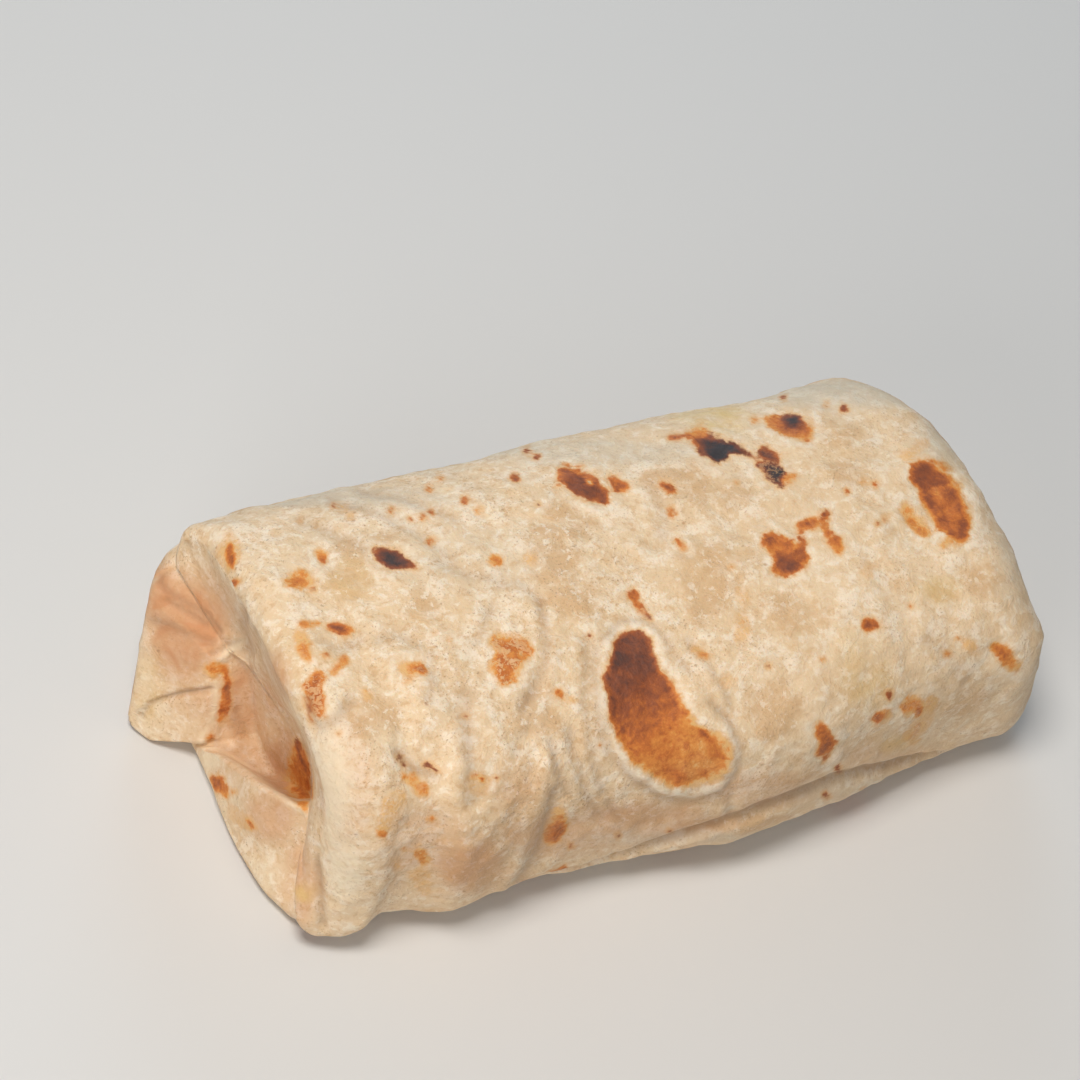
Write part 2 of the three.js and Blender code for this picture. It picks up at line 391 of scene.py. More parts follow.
# rings between the two rims, each station running straight from rim to rim
def bodyRings(start, end, degrees):
    part = (np.arange(1, body["rings"]) / body["rings"])[:, None]
    x = mix(start[None, :, 0], end[None, :, 0], part)
    around = np.broadcast_to(degrees, x.shape)
    y, z = section(x, around)
    inside = smooth(0, body["easeLeft"], x - start[None, :, 0]) * smooth(0, body["easeRight"], end[None, :, 0] - x)
    relief = (swell(x, around) + seamRelief(x, around)) * inside
    middle = body["height"] / 2
    run = np.hypot(y, z - middle)
    return np.stack([x, y + relief * y / run, np.maximum(0, z + relief * (z - middle) / run)], -1)


degrees = spreadStations()
left = foldRings(leftEnd, degrees)
rightFold = foldRings(rightEnd, degrees)[::-1]
skin = np.concatenate([left, bodyRings(left[-1], rightFold[0], degrees), rightFold]) + centring
foldCount = sum(leftEnd["rings"][:2])
print("skin surface", skin.shape)


# outward normals of the ring grid, and the area round each point, from the cross product of its two directions
def gridNormals(grid):
    along = np.gradient(grid, axis=0)
    around = np.roll(grid, -1, 1) - np.roll(grid, 1, 1)
    n = np.cross(around, along)
    area = np.linalg.norm(n, axis=-1)
    n /= area[..., None] + 1e-9
    return (n if np.sum(n[len(grid) // 2, :, 2] * (grid[len(grid) // 2, :, 2] - 30)) > 0 else -n), area


normals, areas = gridNormals(skin)
viewX, viewY = toView(skin)
toCamera = (aimPoint + back * camera["distance"]) - skin
facing = np.sum(normals * toCamera, -1) / np.linalg.norm(toCamera, axis=-1)
onFold = np.zeros(skin.shape[:2], bool)
onFold[:foldCount] = True
pixelsPerMm = 4.73

# how the skin in sight is found: the cell's pixels, the points added between neighbours, and how often it is softened
sight = {"cell": 2.5, "between": 4, "soften": 5}


# which cell of the camera's frame a point falls in, counted row by row
def cellOf(x, y, cell):
    across = int(camera["frame"] / cell) + 1
    return np.clip(y / cell, 0, across - 1).astype(int) * across + np.clip(x / cell, 0, across - 1).astype(int)


# seen: no deeper than the nearest skin in its cell, with slack for the slope; points are added between those of the
# grid, so that no cell is missed
def findSeen(cell, times):
    depth = camera["distance"] - (skin - aimPoint) @ back
    nearest = np.full((int(camera["frame"] / cell) + 1) ** 2, 1e9)
    grid = np.stack([viewX, viewY, depth])
    for a in range(times):
        row = mix(grid[:, :-1], grid[:, 1:], a / times)
        for b in range(times):
            x, y, far = mix(row, np.roll(row, -1, 2), b / times)
            np.minimum.at(nearest, cellOf(x, y, cell), far)
    slack = 0.6 + 1.5 * cell / pixelsPerMm / np.maximum(facing, 0.08)
    return (facing > 0) & (depth < nearest[cellOf(viewX, viewY, cell)] + slack)


# the mean of each point and its neighbours, taken again and again
def soften(share, times):
    for _ in range(times):
        share = (np.concatenate([share[:1], share[:-1]]) + share + np.concatenate([share[1:], share[-1:]])) / 3
        share = (np.roll(share, 1, 1) + share + np.roll(share, -1, 1)) / 3
    return share


seen = soften(findSeen(sight["cell"], sight["between"]).astype(float), sight["soften"])
shown = smooth(0.0, 0.12, facing) * smooth(0.3, 0.7, seen)


# distance in the camera's frame from a chain of points, and how far along it the nearest point lies
def chainDistance(points):
    best = np.full(viewX.shape, 1e9)
    along = np.zeros(viewX.shape)
    for i in range(max(1, len(points) - 1)):
        a, b = np.array(points[i][:2], float), np.array(points[min(i + 1, len(points) - 1)][:2], float)
        d = b - a
        s = np.clip(((viewX - a[0]) * d[0] + (viewY - a[1]) * d[1]) / max(d @ d, 1e-6), 0, 1)
        dist = np.hypot(viewX - a[0] - s * d[0], viewY - a[1] - s * d[1])
        closer = dist < best
        best = np.where(closer, dist, best)
        along = np.where(closer, i + s, along)
    return best, along


# creases and low ridges in the camera's frame, each its line, its depth and its width in millimetres; a ridge has a
# depth below zero
skinCreases = {
    "beanRing": ([(597, 648), (595, 690), (599, 722), (610, 752), (630, 778), (660, 797), (697, 803), (722, 793),
        (737, 772), (739, 745), (731, 722), (712, 703)], 0.55, 1.1),
    "beanRingTop": ([(602, 640), (622, 620), (645, 618), (662, 634), (676, 655), (690, 672)], 0.45, 1),
    "beanLipNear": ([(609, 640), (601, 690), (606, 725), (622, 756), (650, 783), (690, 792)], -0.5, 1.7),
    "beanLipFar": ([(655, 622), (672, 645), (686, 668), (697, 695), (725, 725), (734, 760),
        (722, 782)], -0.45, 1.6),
    "beanOuter": ([(588, 640), (586, 700), (590, 745), (600, 785), (618, 818)], 0.45, 1.1),
    "beanFolds": ([(572, 730), (577, 762), (586, 795), (600, 815)], 0.5, 1.1),
    "spotFolds": ([(552, 742), (557, 768), (568, 796)], 0.55, 1),
    "longFold": ([(541, 598), (547, 640), (545, 668), (536, 690), (524, 706)], 0.65, 1.1),
    "longFoldLip": ([(552, 640), (551, 675), (543, 700), (540, 735)], -0.5, 1.2),
    "nearRidge": ([(547, 755), (539, 800), (528, 835), (515, 862), (503, 885)], -0.7, 1.3),
    "nearRidgeFoot": ([(556, 790), (546, 830), (533, 860), (520, 880)], 0.6, 1.3),
    "greyDip": ([(533, 690), (537, 715), (530, 745)], 0.8, 3.2),
    "middleDip": ([(468, 690), (467, 730), (472, 765), (468, 800)], 0.5, 1.8),
    "speckledRim": ([(478, 640), (486, 620), (494, 604)], 0.4, 1.1),
    "besideBean": ([(690, 640), (705, 663), (722, 688), (735, 716)], 0.4, 1),
    "besideBeanLip": ([(700, 655), (714, 680), (728, 702)], -0.35, 1),
    "belowBean": ([(728, 778), (731, 792), (728, 812)], 0.4, 1),
    "rimValley": ([(440, 742), (439, 790), (436, 845), (430, 900)], 1.2, 4),
    "rimWrinkle": ([(399, 752), (412, 768), (434, 777)], 0.8, 1.2),
    "rimWrinkleUp": ([(400, 700), (404, 740), (416, 762)], 0.7, 2.2),
    "nearSwell": ([(452, 778), (462, 815), (470, 860)], -0.5, 2.2),
    "rimFold": ([(395, 830), (400, 870), (408, 900)], 0.5, 2.2),
    "rimTick": ([(306, 698), (310, 712), (316, 728)], 0.7, 1),
    "rollFoot": ([(309, 812), (312, 845), (316, 878), (320, 905), (322, 926)], 1, 1.1),
    "rimHook": ([(316, 728), (335, 718), (352, 700)], 0.6, 1.4),
    "rimDimple": ([(322, 640), (340, 650), (360, 640)], 0.4, 1.6),
    "rimDimpleFar": ([(378, 640), (398, 632), (420, 645)], 0.4, 1.3),
    "upperFold": ([(300, 520), (330, 530), (365, 548)], 0.4, 1.2),
    "upperFoldLong": ([(330, 500), (375, 512), (420, 535), (455, 560)], 0.35, 1.1),
    "upperFoldFar": ([(360, 490), (410, 500), (455, 520)], 0.35, 1.1),
    "spotShoulder": ([(545, 600), (520, 582), (500, 585)], 0.35, 1.4),
    "rimShoulder": ([(430, 655), (434, 680), (428, 700)], 0.4, 1.3),
    "aboveSpot": ([(440, 560), (470, 575), (505, 580)], 0.35, 1.2),
    "rightSwell": ([(870, 560), (900, 600), (905, 650)], 0.3, 2.4),
    "topSwell": ([(650, 480), (665, 510), (660, 545)], 0.3, 1.6),
    "rightDimple": ([(930, 640), (950, 655), (965, 680)], 0.3, 1.6),
}
foldCreases = {
    "flapTopFoot": ([(212, 741), (237, 752), (254, 764), (266, 776), (281, 788), (296, 799)], 0.5, 0.8),
    "flapUpperFoot": ([(222, 735), (224, 715)], 0.5, 0.8),
    "pleatTop": ([(152, 572), (166, 590), (185, 602), (205, 614), (220, 630)], 0.7, 0.8),
    "pleatTopLip": ([(158, 590), (185, 604), (208, 618), (226, 634)], -0.6, 1),
    "pleatSecond": ([(168, 600), (188, 612), (206, 624)], 0.6, 0.8),
    "pleatLow": ([(152, 622), (180, 632), (212, 643)], 0.5, 1.2),
    "gussetSwell": ([(145, 645), (165, 650), (190, 655)], -0.3, 1.8),
    "gussetTop": ([(160, 575), (172, 560), (185, 545)], 0.4, 1.3),
    "cornerTuck": ([(212, 654), (226, 646), (242, 641)], 0.6, 0.8),
    "cornerTuckLip": ([(222, 658), (232, 650), (244, 647)], -0.5, 0.8),
    "gussetMiddle": ([(137, 717), (150, 704), (165, 698), (186, 693), (211, 690)], 0.9, 0.6),
    "gussetMiddleLip": ([(140, 708), (155, 694), (170, 688), (190, 684)], -0.3, 1.3),
    "slopeFirst": ([(263, 610), (276, 640), (287, 668)], 0.35, 1.2),
    "slopeSecond": ([(272, 612), (284, 640), (294, 668)], 0.3, 1),
    "slopeThird": ([(254, 630), (268, 665), (282, 695)], 0.35, 1.2),
    "slopeFourth": ([(246, 600), (242, 625), (250, 650)], 0.6, 1.2),
    "slopeRidge": ([(272, 690), (284, 712), (294, 735)], -0.3, 1.2),
    "floorCrease": ([(229, 690), (237, 722), (245, 750)], 0.6, 1),
    "floorTick": ([(243, 726), (247, 748)], 0.8, 0.8),
    "floorSwell": ([(258, 668), (262, 705), (272, 740)], -0.6, 2.5),
    "flapDip": ([(225, 830), (255, 850), (290, 845)], 0.5, 3),
    "flapSwell": ([(250, 800), (270, 830), (300, 850)], -0.6, 3.5),
}


# relief of a set of lines: minus depth times a bell of the distance; the groove, painted shade in the narrow creases,
# is the deepest such bell
def lineRelief(lines, where):
    height, groove = np.zeros(viewX.shape), np.zeros(viewX.shape)
    for line, depth, width in lines.values():
        bell = np.exp(-(chainDistance(line)[0] / pixelsPerMm / width) ** 2) * where * shown
        height -= depth * bell
        groove = np.maximum(groove, bell * min(1.0, max(0.0, depth) / 0.7) * (width < 2))
    return height, groove


skinHeight, skinCreaseShade = lineRelief(skinCreases, ~onFold)
foldHeights, foldCreaseShade = lineRelief(foldCreases, onFold)

# at the edge of the wrap: over how many degrees no crease shows, and the painted shade line along its foot
wrapFoot = {"clear": 3.0, "off": 0.6, "width": 0.9, "inside": 0.3, "ringsPastFace": 8}
fromWrapEdge = (degrees - fold["wrapEdge"] + 180) % 360 - 180
relief = skinHeight + foldHeights * (1 - np.exp(-(fromWrapEdge / wrapFoot["clear"]) ** 2))

# painted shade in the grooves: the creases, the seam, and the edge of the wrap on the left end are painted darker
below, seamFade = belowSeam(skin[..., 0] - centring[0], degrees)
seamShade = seam["paintedShade"] * seamFade * np.exp(-((below + 1) / seam["shadeWidth"]) ** 2)
groove = np.maximum(np.maximum(skinCreaseShade, foldCreaseShade), seamShade)
wrapRings = foldCount + wrapFoot["ringsPastFace"]
wrapFootShade = np.exp(-((fromWrapEdge + wrapFoot["off"]) / wrapFoot["width"]) ** 2)
wrapFootShade = wrapFootShade * np.linspace(wrapFoot["inside"], 1, wrapRings)[:, None]
groove[:wrapRings] = np.maximum(groove[:wrapRings], wrapFootShade)

# lumps of the filling and of the baked sheet: sums of waves in drawn directions
lumps = {
    "soft": {"count": 26, "wave": [9.0, 17.0], "height": 0.22, "seed": 3},
    "fine": {"count": 40, "wave": [3.2, 6.0], "height": 0.1, "seed": 5},
}


# sum over the waves of sin(direction . place * 2 pi / wave + phase), scaled to the height
def waveSum(count, wave, height, seed):
    draw = np.random.default_rng(seed)
    total = np.zeros(viewX.shape)
    for _ in range(count):
        way = draw.normal(size=3)
        way *= 2 * np.pi / np.linalg.norm(way) / draw.uniform(*wave)
        total += np.sin(skin @ way + draw.uniform(0, 2 * np.pi))
    return total * height / math.sqrt(count / 2)


# the near side towards the left end is rougher, and the underside lies flat
roughArea = {"x": 470, "y": 760, "halfWidth": 90, "halfHeight": 100, "least": 0.7, "more": 0.7, "onFold": 0.45}
roughReach = ((viewX - roughArea["x"]) / roughArea["halfWidth"]) ** 2
roughReach += ((viewY - roughArea["y"]) / roughArea["halfHeight"]) ** 2
rough = roughArea["least"] + roughArea["more"] * np.exp(-roughReach) * shown
offFloor = smooth(0.5, 6.0, skin[..., 2])
rough = rough * offFloor * np.where(onFold, roughArea["onFold"], 1.0)
relief += (waveSum(**lumps["soft"]) + waveSum(**lumps["fine"])) * rough

# wrinkles on the sides turned away: each a slanting line round the roll, fading at both ends
awayWrinkles = {"count": 26, "depth": [0.25, 0.75], "width": [0.9, 2.6], "reach": [8, 26], "slant": 0.35, "seed": 23}


# minus depth times a bell of the distance in x from the line, times a bell of the degrees from its middle; the narrow
# ones also lay painted shade along them
def awayRelief():
    draw = np.random.default_rng(awayWrinkles["seed"])
    height, paintedShade = np.zeros(viewX.shape), np.zeros(viewX.shape)
    for _ in range(awayWrinkles["count"]):
        middle, x = draw.uniform(-60, 150), draw.choice([-1, 1]) * 78 * draw.random() ** 0.6
        slant = draw.normal(0, awayWrinkles["slant"])
        depth, width = draw.uniform(*awayWrinkles["depth"]), draw.uniform(*awayWrinkles["width"])
        turn = (degrees - middle + 180) % 360 - 180
        line = x + slant * turn + 1.5 * np.sin(turn / 14 + x)
        bell = np.exp(-((skin[..., 0] - line) / width) ** 2 - (turn / draw.uniform(*awayWrinkles["reach"])) ** 2)
        height -= depth * bell * draw.choice([-0.7, 1.0])
        paintedShade = np.maximum(paintedShade, bell * (width < 1.4) * 0.6)
    away = smooth(0.1, -0.15, facing) * ~onFold * offFloor
    return height * away, paintedShade * away


awayHeight, awayShade = awayRelief()
relief += awayHeight
groove = np.maximum(groove, awayShade)

# toast marks in the camera's frame, each a chain of (x, y, radius, tone), how speckled it is and how pale the ring
# round it is; tone 0 is golden and 1 near black
skinMarks = {
    "bean": ([(632, 648, 20, 0.72), (633, 675, 31, 0.68), (643, 705, 37, 0.54), (660, 735, 39, 0.38),
        (680, 752, 35, 0.25), (704, 757, 28, 0.14)], 0.2, 0.9),
    "beanHead": ([(628, 646, 10, 0.72), (645, 664, 7, 0.72)], 0.1, 0),
    "beanBand": ([(612, 668, 2.5, 0.56), (632, 677, 3, 0.58), (655, 694, 3, 0.54)], 0.1, 0),
    "beanCheek": ([(615, 690, 7, 0.62), (622, 706, 8, 0.6)], 0.1, 0),
    "beanWorn": ([(712, 752, 5, 0.26), (721, 764, 5, 0.2)], 0.35, 0),
    "beanToe": ([(684, 766, 6, 0.14), (700, 776, 5, 0.14)], 0.2, 0),
    "beanGlow": ([(665, 722, 5, 0.28), (680, 742, 5, 0.18), (694, 756, 4, 0.18)], 0.2, 0),
    "beanStreak": ([(700, 730, 2.5, 0.4), (712, 742, 2.5, 0.42), (722, 758, 2.5, 0.4)], 0.3, 0),
    "beanFoot": ([(672, 776, 3, 0.32), (690, 783, 3, 0.34), (706, 776, 3, 0.34)], 0.3, 0),
    "zigzagBody": ([(772, 540, 9, 0.5), (782, 549, 12, 0.5), (787, 560, 17, 0.54), (798, 558, 13, 0.48)], 0.2, 0.5),
    "zigzagCore": ([(780, 563, 5, 0.64), (792, 566, 6, 0.66)], 0.1, 0),
    "zigzagGold": ([(777, 546, 4, 0.3), (790, 550, 3, 0.34)], 0.2, 0),
    "zigzagStem": ([(803, 548, 5, 0.6), (801, 533, 5, 0.6), (803, 527, 8, 0.5), (813, 523, 8, 0.4)], 0.35, 0.3),
    "zigzagLeg": ([(825, 513, 6, 0.62), (825, 528, 6, 0.5), (833, 540, 7, 0.62), (840, 550, 4, 0.45)], 0.25, 0.3),
    "charWing": ([(693, 437, 8, 0.5), (705, 443, 10, 0.8), (718, 451, 13, 0.99), (731, 448, 8, 0.94),
        (745, 452, 4, 0.85), (757, 458, 3, 0.7)], 0.15, 0.4),
    "charWingTip": ([(671, 437, 3, 0.6), (685, 437, 4, 0.5), (700, 431, 7, 0.32)], 0.2, 0),
    "charTailTop": ([(763, 453, 7, 0.75), (777, 459, 5, 0.7)], 0.35, 0),
    "charTail": ([(758, 464, 4, 0.75), (768, 468, 9, 0.88), (776, 476, 10, 0.95), (780, 485, 7, 0.85)], 0.5, 0.3),
    "charTailSide": ([(786, 480, 5, 0.5), (794, 475, 3, 0.35)], 0.4, 0),
    "topOval": ([(772, 422, 6, 0.35), (788, 427, 10, 0.5), (806, 431, 9, 0.4)], 0.25, 0.6),
    "topOvalHeart": ([(783, 418, 4, 0.8), (792, 420, 7, 0.98), (802, 423, 4, 0.8)], 0.2, 0),
    "upperOval": ([(568, 474, 11, 0.5), (580, 484, 13, 0.64), (592, 490, 12, 0.66), (603, 497, 8, 0.62)], 0.2, 0.8),
    "upperOvalArc": ([(557, 486, 1.6, 0.45), (560, 473, 1.8, 0.55), (570, 466, 1.8, 0.6),
        (582, 467, 1.6, 0.5)], 0.1, 0),
    "upperOvalFleck": ([(589, 483, 3, -0.1)], 0, 0),
    "upperOvalRest": ([(611, 479, 4, 0.6), (618, 484, 6, 0.6), (625, 487, 4, 0.5)], 0.2, 0.2),
    "topPair": ([(662, 484, 4, 0.6), (668, 488, 6, 0.62), (673, 490, 4, 0.6)], 0.1, 0),
    "topDot": ([(672, 513, 5.5, 0.5)], 0.1, 0.2),
    "topTick": ([(677, 539, 4, 0.55), (683, 548, 3.5, 0.5)], 0.1, 0.5),
    "tick": ([(633, 596, 6, 0.6), (641, 606, 4.5, 0.6), (650, 619, 2.5, 0.78)], 0.1, 0.3),
    "rightOval": ([(926, 474, 16, 0.56), (934, 482, 20, 0.55), (940, 496, 20, 0.4), (949, 512, 20, 0.42),
        (957, 524, 17, 0.34), (960, 534, 10, 0.5)], 0.25, 0.8),
    "rightOvalDark": ([(921, 476, 5, 0.62), (924, 490, 4, 0.6), (934, 506, 3, 0.56)], 0.2, 0),
    "rightOvalVein": ([(942, 476, 3, 0.5), (954, 496, 2.5, 0.52), (963, 514, 3, 0.56),
        (964, 530, 4, 0.58)], 0.3, 0),
    "rightOvalGlow": ([(936, 488, 4, 0.24), (943, 500, 3, 0.3)], 0.4, 0),
    "rightOvalBelly": ([(944, 518, 3, 0.5), (951, 530, 3, 0.52)], 0.2, 0),
    "rightOvalTop": ([(940, 466, 5, 0.4), (948, 471, 4, 0.3)], 0.4, 0),
    "rightOvalSide": ([(905, 509, 5, 0.25), (913, 518, 7, 0.3), (926, 531, 6, 0.3)], 0.4, 0.4),
    "rightOvalFoot": ([(942, 547, 4, 0.25), (949, 541, 4, 0.3)], 0.5, 0),
    "rightOvalBrow": ([(907, 454, 6, 0.02), (925, 444, 5, 0.02)], 0.5, 0),
    "rightDot": ([(869, 625, 6, 0.6), (877, 625, 5.5, 0.68)], 0.1, 0.3),
    "rightEndMark": ([(998, 650, 7, 0.3), (1005, 655, 8, 0.42), (1013, 665, 6, 0.3)], 0.3, 0.6),
    "lowerRight": ([(908, 708, 8, 0.3), (914, 702, 8, 0.25), (920, 712, 8, 0.3)], 0.5, 0.4),
    "lowerRightRest": ([(932, 700, 6, 0.12), (927, 716, 5, 0.08), (912, 737, 7, 0.05)], 0.6, 0),
    "lowerRightDots": ([(877, 719, 6, 0.55), (886, 714, 5, 0.25)], 0.5, 0),
    "lowerMiddle": ([(822, 731, 8, 0.5), (829, 741, 7, 0.5), (822, 752, 8, 0.5)], 0.25, 0.4),
    "ringedDot": ([(768, 667, 3.2, 0.8)], 0, 0.7),
    "speckled": ([(498, 640, 9, 0.28), (510, 648, 16, 0.36), (506, 668, 16, 0.34), (508, 678, 9, 0.36)], 0.9, 0.6),
    "speckledSpur": ([(520, 640, 6, 0.4), (529, 650, 5, 0.45), (524, 657, 4, 0.45)], 0.6, 0),
    "leftRing": ([(404, 669, 7, 0.15), (412, 668, 8, 0.28), (421, 670, 7, 0.42)], 0.5, 0.7),
    "leftRingTail": ([(412, 678, 2, 0.75), (405, 683, 1.6, 0.75)], 0, 0),
    "rimLong": ([(320, 674, 6, 0.4), (312, 688, 10, 0.42), (316, 702, 10, 0.42), (320, 714, 6, 0.5)], 0.65, 0),
    "rimEdge": ([(304, 697, 2.5, 0.62), (308, 710, 2.5, 0.7), (311, 722, 2, 0.6)], 0, 0),
    "rimBar": ([(330, 626, 4.5, 0.66), (340, 628, 6, 0.6), (348, 630, 5, 0.45)], 0.15, 0),
    "rimBarSide": ([(302, 623, 4.5, 0.4), (311, 626, 4, 0.42), (319, 622, 2.5, 0.35)], 0.35, 0),
    "rimDrop": ([(300, 636, 6, 0.28), (303, 648, 7, 0.32), (308, 658, 4, 0.25)], 0.5, 0),
    "rimDot": ([(325, 655, 4.5, 0.5)], 0.4, 0),
    "rimCurl": ([(335, 671, 5, 0.25), (344, 661, 5, 0.4)], 0.45, 0),
    "upperLeft": ([(292, 582, 7, 0.25), (300, 579, 10, 0.33), (309, 581, 7, 0.25)], 0.15, 0.6),
    "upperLeftFoot": ([(310, 590, 1.8, 0.8), (315, 589, 1.8, 0.8)], 0, 0),
    "cornerWash": ([(231, 540, 8, 0.02), (229, 558, 10, 0.05), (215, 575, 8, 0)], 0.35, 0.3),
    "cornerStreak": ([(230, 546, 3.5, 0.34), (229, 555, 4, 0.44), (231, 567, 4, 0.4)], 0.2, 0),
    "cornerWedge": ([(216, 582, 3.5, 0.42), (226, 588, 7, 0.5), (236, 582, 3.5, 0.42)], 0.05, 0),
    "plumMark": ([(381, 555, 9, 0.8), (393, 560, 11, 0.82), (405, 563, 8, 0.8), (414, 567, 4, 0.7)], 0.12, 0.4),
    "upperDrop": ([(321, 553, 5, 0.3), (323, 561, 3.5, 0.6)], 0.2, 0.6),
    "lowSpeckled": ([(561, 814, 6, 0.22), (558, 830, 10, 0.36), (554, 839, 7, 0.36)], 0.45, 0),
    "nearEdge": ([(552, 873, 4, 0.5), (563, 871, 6, 0.52)], 0.1, 0),
    "lowWash": ([(478, 786, 10, 0)], 0.6, 0),
    "rimStreak": ([(412, 781, 7, 0.2), (422, 791, 6, 0.38), (406, 778, 4, 0.35)], 0.5, 0),
    "rimWash": ([(398, 796, 8, 0.02), (391, 808, 9, 0.04), (386, 822, 8, 0.02)], 0.3, 0),
    "rimRed": ([(382, 833, 5, 0.45)], 0.1, 0),
    "lowRimPair": ([(420, 856, 7, 0.24), (425, 863, 5, 0.28)], 0.45, 0),
    "lowRimWash": ([(420, 880, 9, 0), (425, 892, 7, 0)], 0.5, 0),
    "rimFreckle": ([(365, 690, 3, 0.25), (368, 698, 4, 0.05)], 0.4, 0),
    "besideBeanMark": ([(696, 649, 4, 0.22), (705, 656, 4.5, 0.36)], 0.4, 0),
    "goldenUpper": ([(742, 592, 7, 0), (746, 601, 6, 0)], 0.5, 0),
    "goldenLower": ([(743, 619, 7, 0), (741, 634, 6, 0.02)], 0.5, 0),
    "goldenBeside": ([(728, 680, 7, 0)], 0.6, 0),
    "goldenRight": ([(868, 571, 7, 0)], 0.6, 0),
    "farRightWash": ([(970, 645, 5, 0.05), (976, 653, 5, 0.05)], 0.4, 0),
}
foldMarks = {
    "gussetOrange": ([(212, 671, 8, 0.24), (217, 667, 6, 0.2)], 0.1, 0),
    "flapStrip": ([(226, 667, 3, 0.5), (227, 688, 5, 0.6), (225, 708, 5.5, 0.56), (221, 721, 4, 0.42)], 0.1, 0),
    "flapDot": ([(210, 738, 4, 0.45)], 0.2, 0),
    "flapWedge": ([(215, 780, 7, 0.5), (222, 789, 7, 0.42), (226, 796, 3, 0.35)], 0.2, 0),
    "flapFreckle": ([(234, 792, 3.5, 0.45)], 0.4, 0),
    "floorTick": ([(243, 728, 2, 0.6), (246, 745, 2, 0.5)], 0, 0),
    "pocketOrange": ([(297, 748, 6, 0.4), (298, 760, 10, 0.26), (298, 774, 14, 0.22), (300, 788, 13, 0.24),
        (303, 800, 8, 0.3), (305, 807, 4, 0.36)], 0.25, 0),
    "pocketChar": ([(296, 741, 4, 0.8), (303, 752, 3.5, 0.6), (309, 774, 4, 0.55), (310, 796, 3.5, 0.5)], 0.1, 0),
    "flapWash": ([(232, 812, 7, 0), (246, 820, 7, 0.04), (254, 826, 4, 0.2)], 0.8, 0),
    "flapWashFleck": ([(250, 820, 1.8, 0.6), (255, 827, 1.6, 0.6)], 0.2, 0),
}

# single spots, each (x, y, radius, tone), by the part of the sheet they lie on
spots = {
    "upperLeft": [(390, 511, 4.5, 0.5), (432, 512, 3.5, 0.45), (423, 516, 4, 0.5), (411, 518, 3, 0.6),
        (431, 541, 4.5, 0.5), (333, 506, 3.5, 0.7), (441, 478, 4, 0.5), (429, 488, 3.5, 0.45), (350, 517, 4, 0.02),
        (345, 507, 4, 0.02), (300, 520, 2, 0.5)],
    "upperMiddle": [(515, 477, 5, 0.6), (465, 502, 4.5, 0.55), (478, 510, 3.5, 0.4), (538, 505, 2, 0.85),
        (527, 451, 5, 0.7), (537, 456, 4, 0.7), (497, 560, 7, 0.28), (530, 560, 5, 0)],
    "top": [(783, 398, 3, 0.7), (826, 404, 3, 0.75), (843, 409, 4.5, 0.75), (754, 420, 3, 0.4)],
    "right": [(875, 484, 4, 0.55), (848, 491, 3, 0.6), (885, 520, 3.5, 0.7), (877, 525, 3, 0.6),
        (863, 482, 2.5, 0.5), (912, 606, 2, 0.6), (948, 655, 3.5, 0.4), (958, 638, 3, 0.5), (822, 660, 3.5, 0.3),
        (737, 483, 1.8, 0.6), (731, 567, 2, 0.6)],
    "lowerRight": [(888, 694, 4.5, 0.7), (838, 768, 4, 0.72), (826, 795, 3.5, 0.7), (863, 790, 2, 0.6)],
    "middle": [(560, 693, 5, 0.45), (590, 635, 2.2, 0.75), (435, 633, 2.4, 0.75), (467, 714, 2, 0.75),
        (572, 700, 3, 0.1), (450, 640, 2, 0.5)],
    "nearSide": [(475, 776, 3, 0.8), (483, 780, 2.4, 0.75), (496, 778, 2, 0.7), (571, 846, 3, 0.7),
        (618, 835, 2.8, 0.8), (670, 831, 2.2, 0.75), (700, 855, 3, 0.4), (600, 745, 2, 0.4)],
    "rim": [(400, 757, 4, 0.85), (406, 765, 2.6, 0.8), (429, 766, 4, 0.85), (437, 771, 2.6, 0.85),
        (432, 823, 3.5, 0.45), (397, 865, 5, 0), (339, 733, 2.4, 0.7), (405, 850, 2, 0.6)],
}

# marks on the sides turned away from the camera: how many, their size in millimetres and their seed
hiddenMarks = {"count": 130, "small": 0.6, "large": 6.0, "seed": 14}

# of the mark each point is deepest in: millimetres inside it, its tone, speckle, pale ring and size
mark = {
    "depth": np.full(viewX.shape, -8.0),
    "tone": np.zeros(viewX.shape),
    "speckle": np.zeros(viewX.shape),
    "halo": np.zeros(viewX.shape),
    "size": np.ones(viewX.shape),
}


# keeps, at each point, the outline that it is deeper in; on an earlier mark the later one's tone takes over inside it
def layMark(depth, tone, speckle, halo, size):
    deeper, over = depth > mark["depth"], mark["depth"] > -0.5
    inside = smooth(-0.5, 0.5, depth)
    for key, value in (("tone", tone), ("speckle", speckle)):
        mark[key] = np.where(over, mix(mark[key], value, inside), np.where(deeper, value, mark[key]))
    for key, value in (("halo", halo), ("size", size), ("depth", depth)):
        mark[key] = np.where(deeper, value, mark[key])


# depth inside a chain: the radius at the nearest point along it, less the distance from it, and none where unseen
def layChain(chain, speckle, halo, where):
    distance, along = chainDistance(chain)
    at = np.arange(len(chain))
    radius = np.interp(along, at, [p[2] for p in chain]) / pixelsPerMm
    tone = np.interp(along, at, [p[3] for p in chain])
    depth = np.where(where & (facing > 0.05), np.minimum(radius - distance / pixelsPerMm, (seen - 0.5) * 12), -8)
    layMark(depth, tone, speckle, halo, radius)


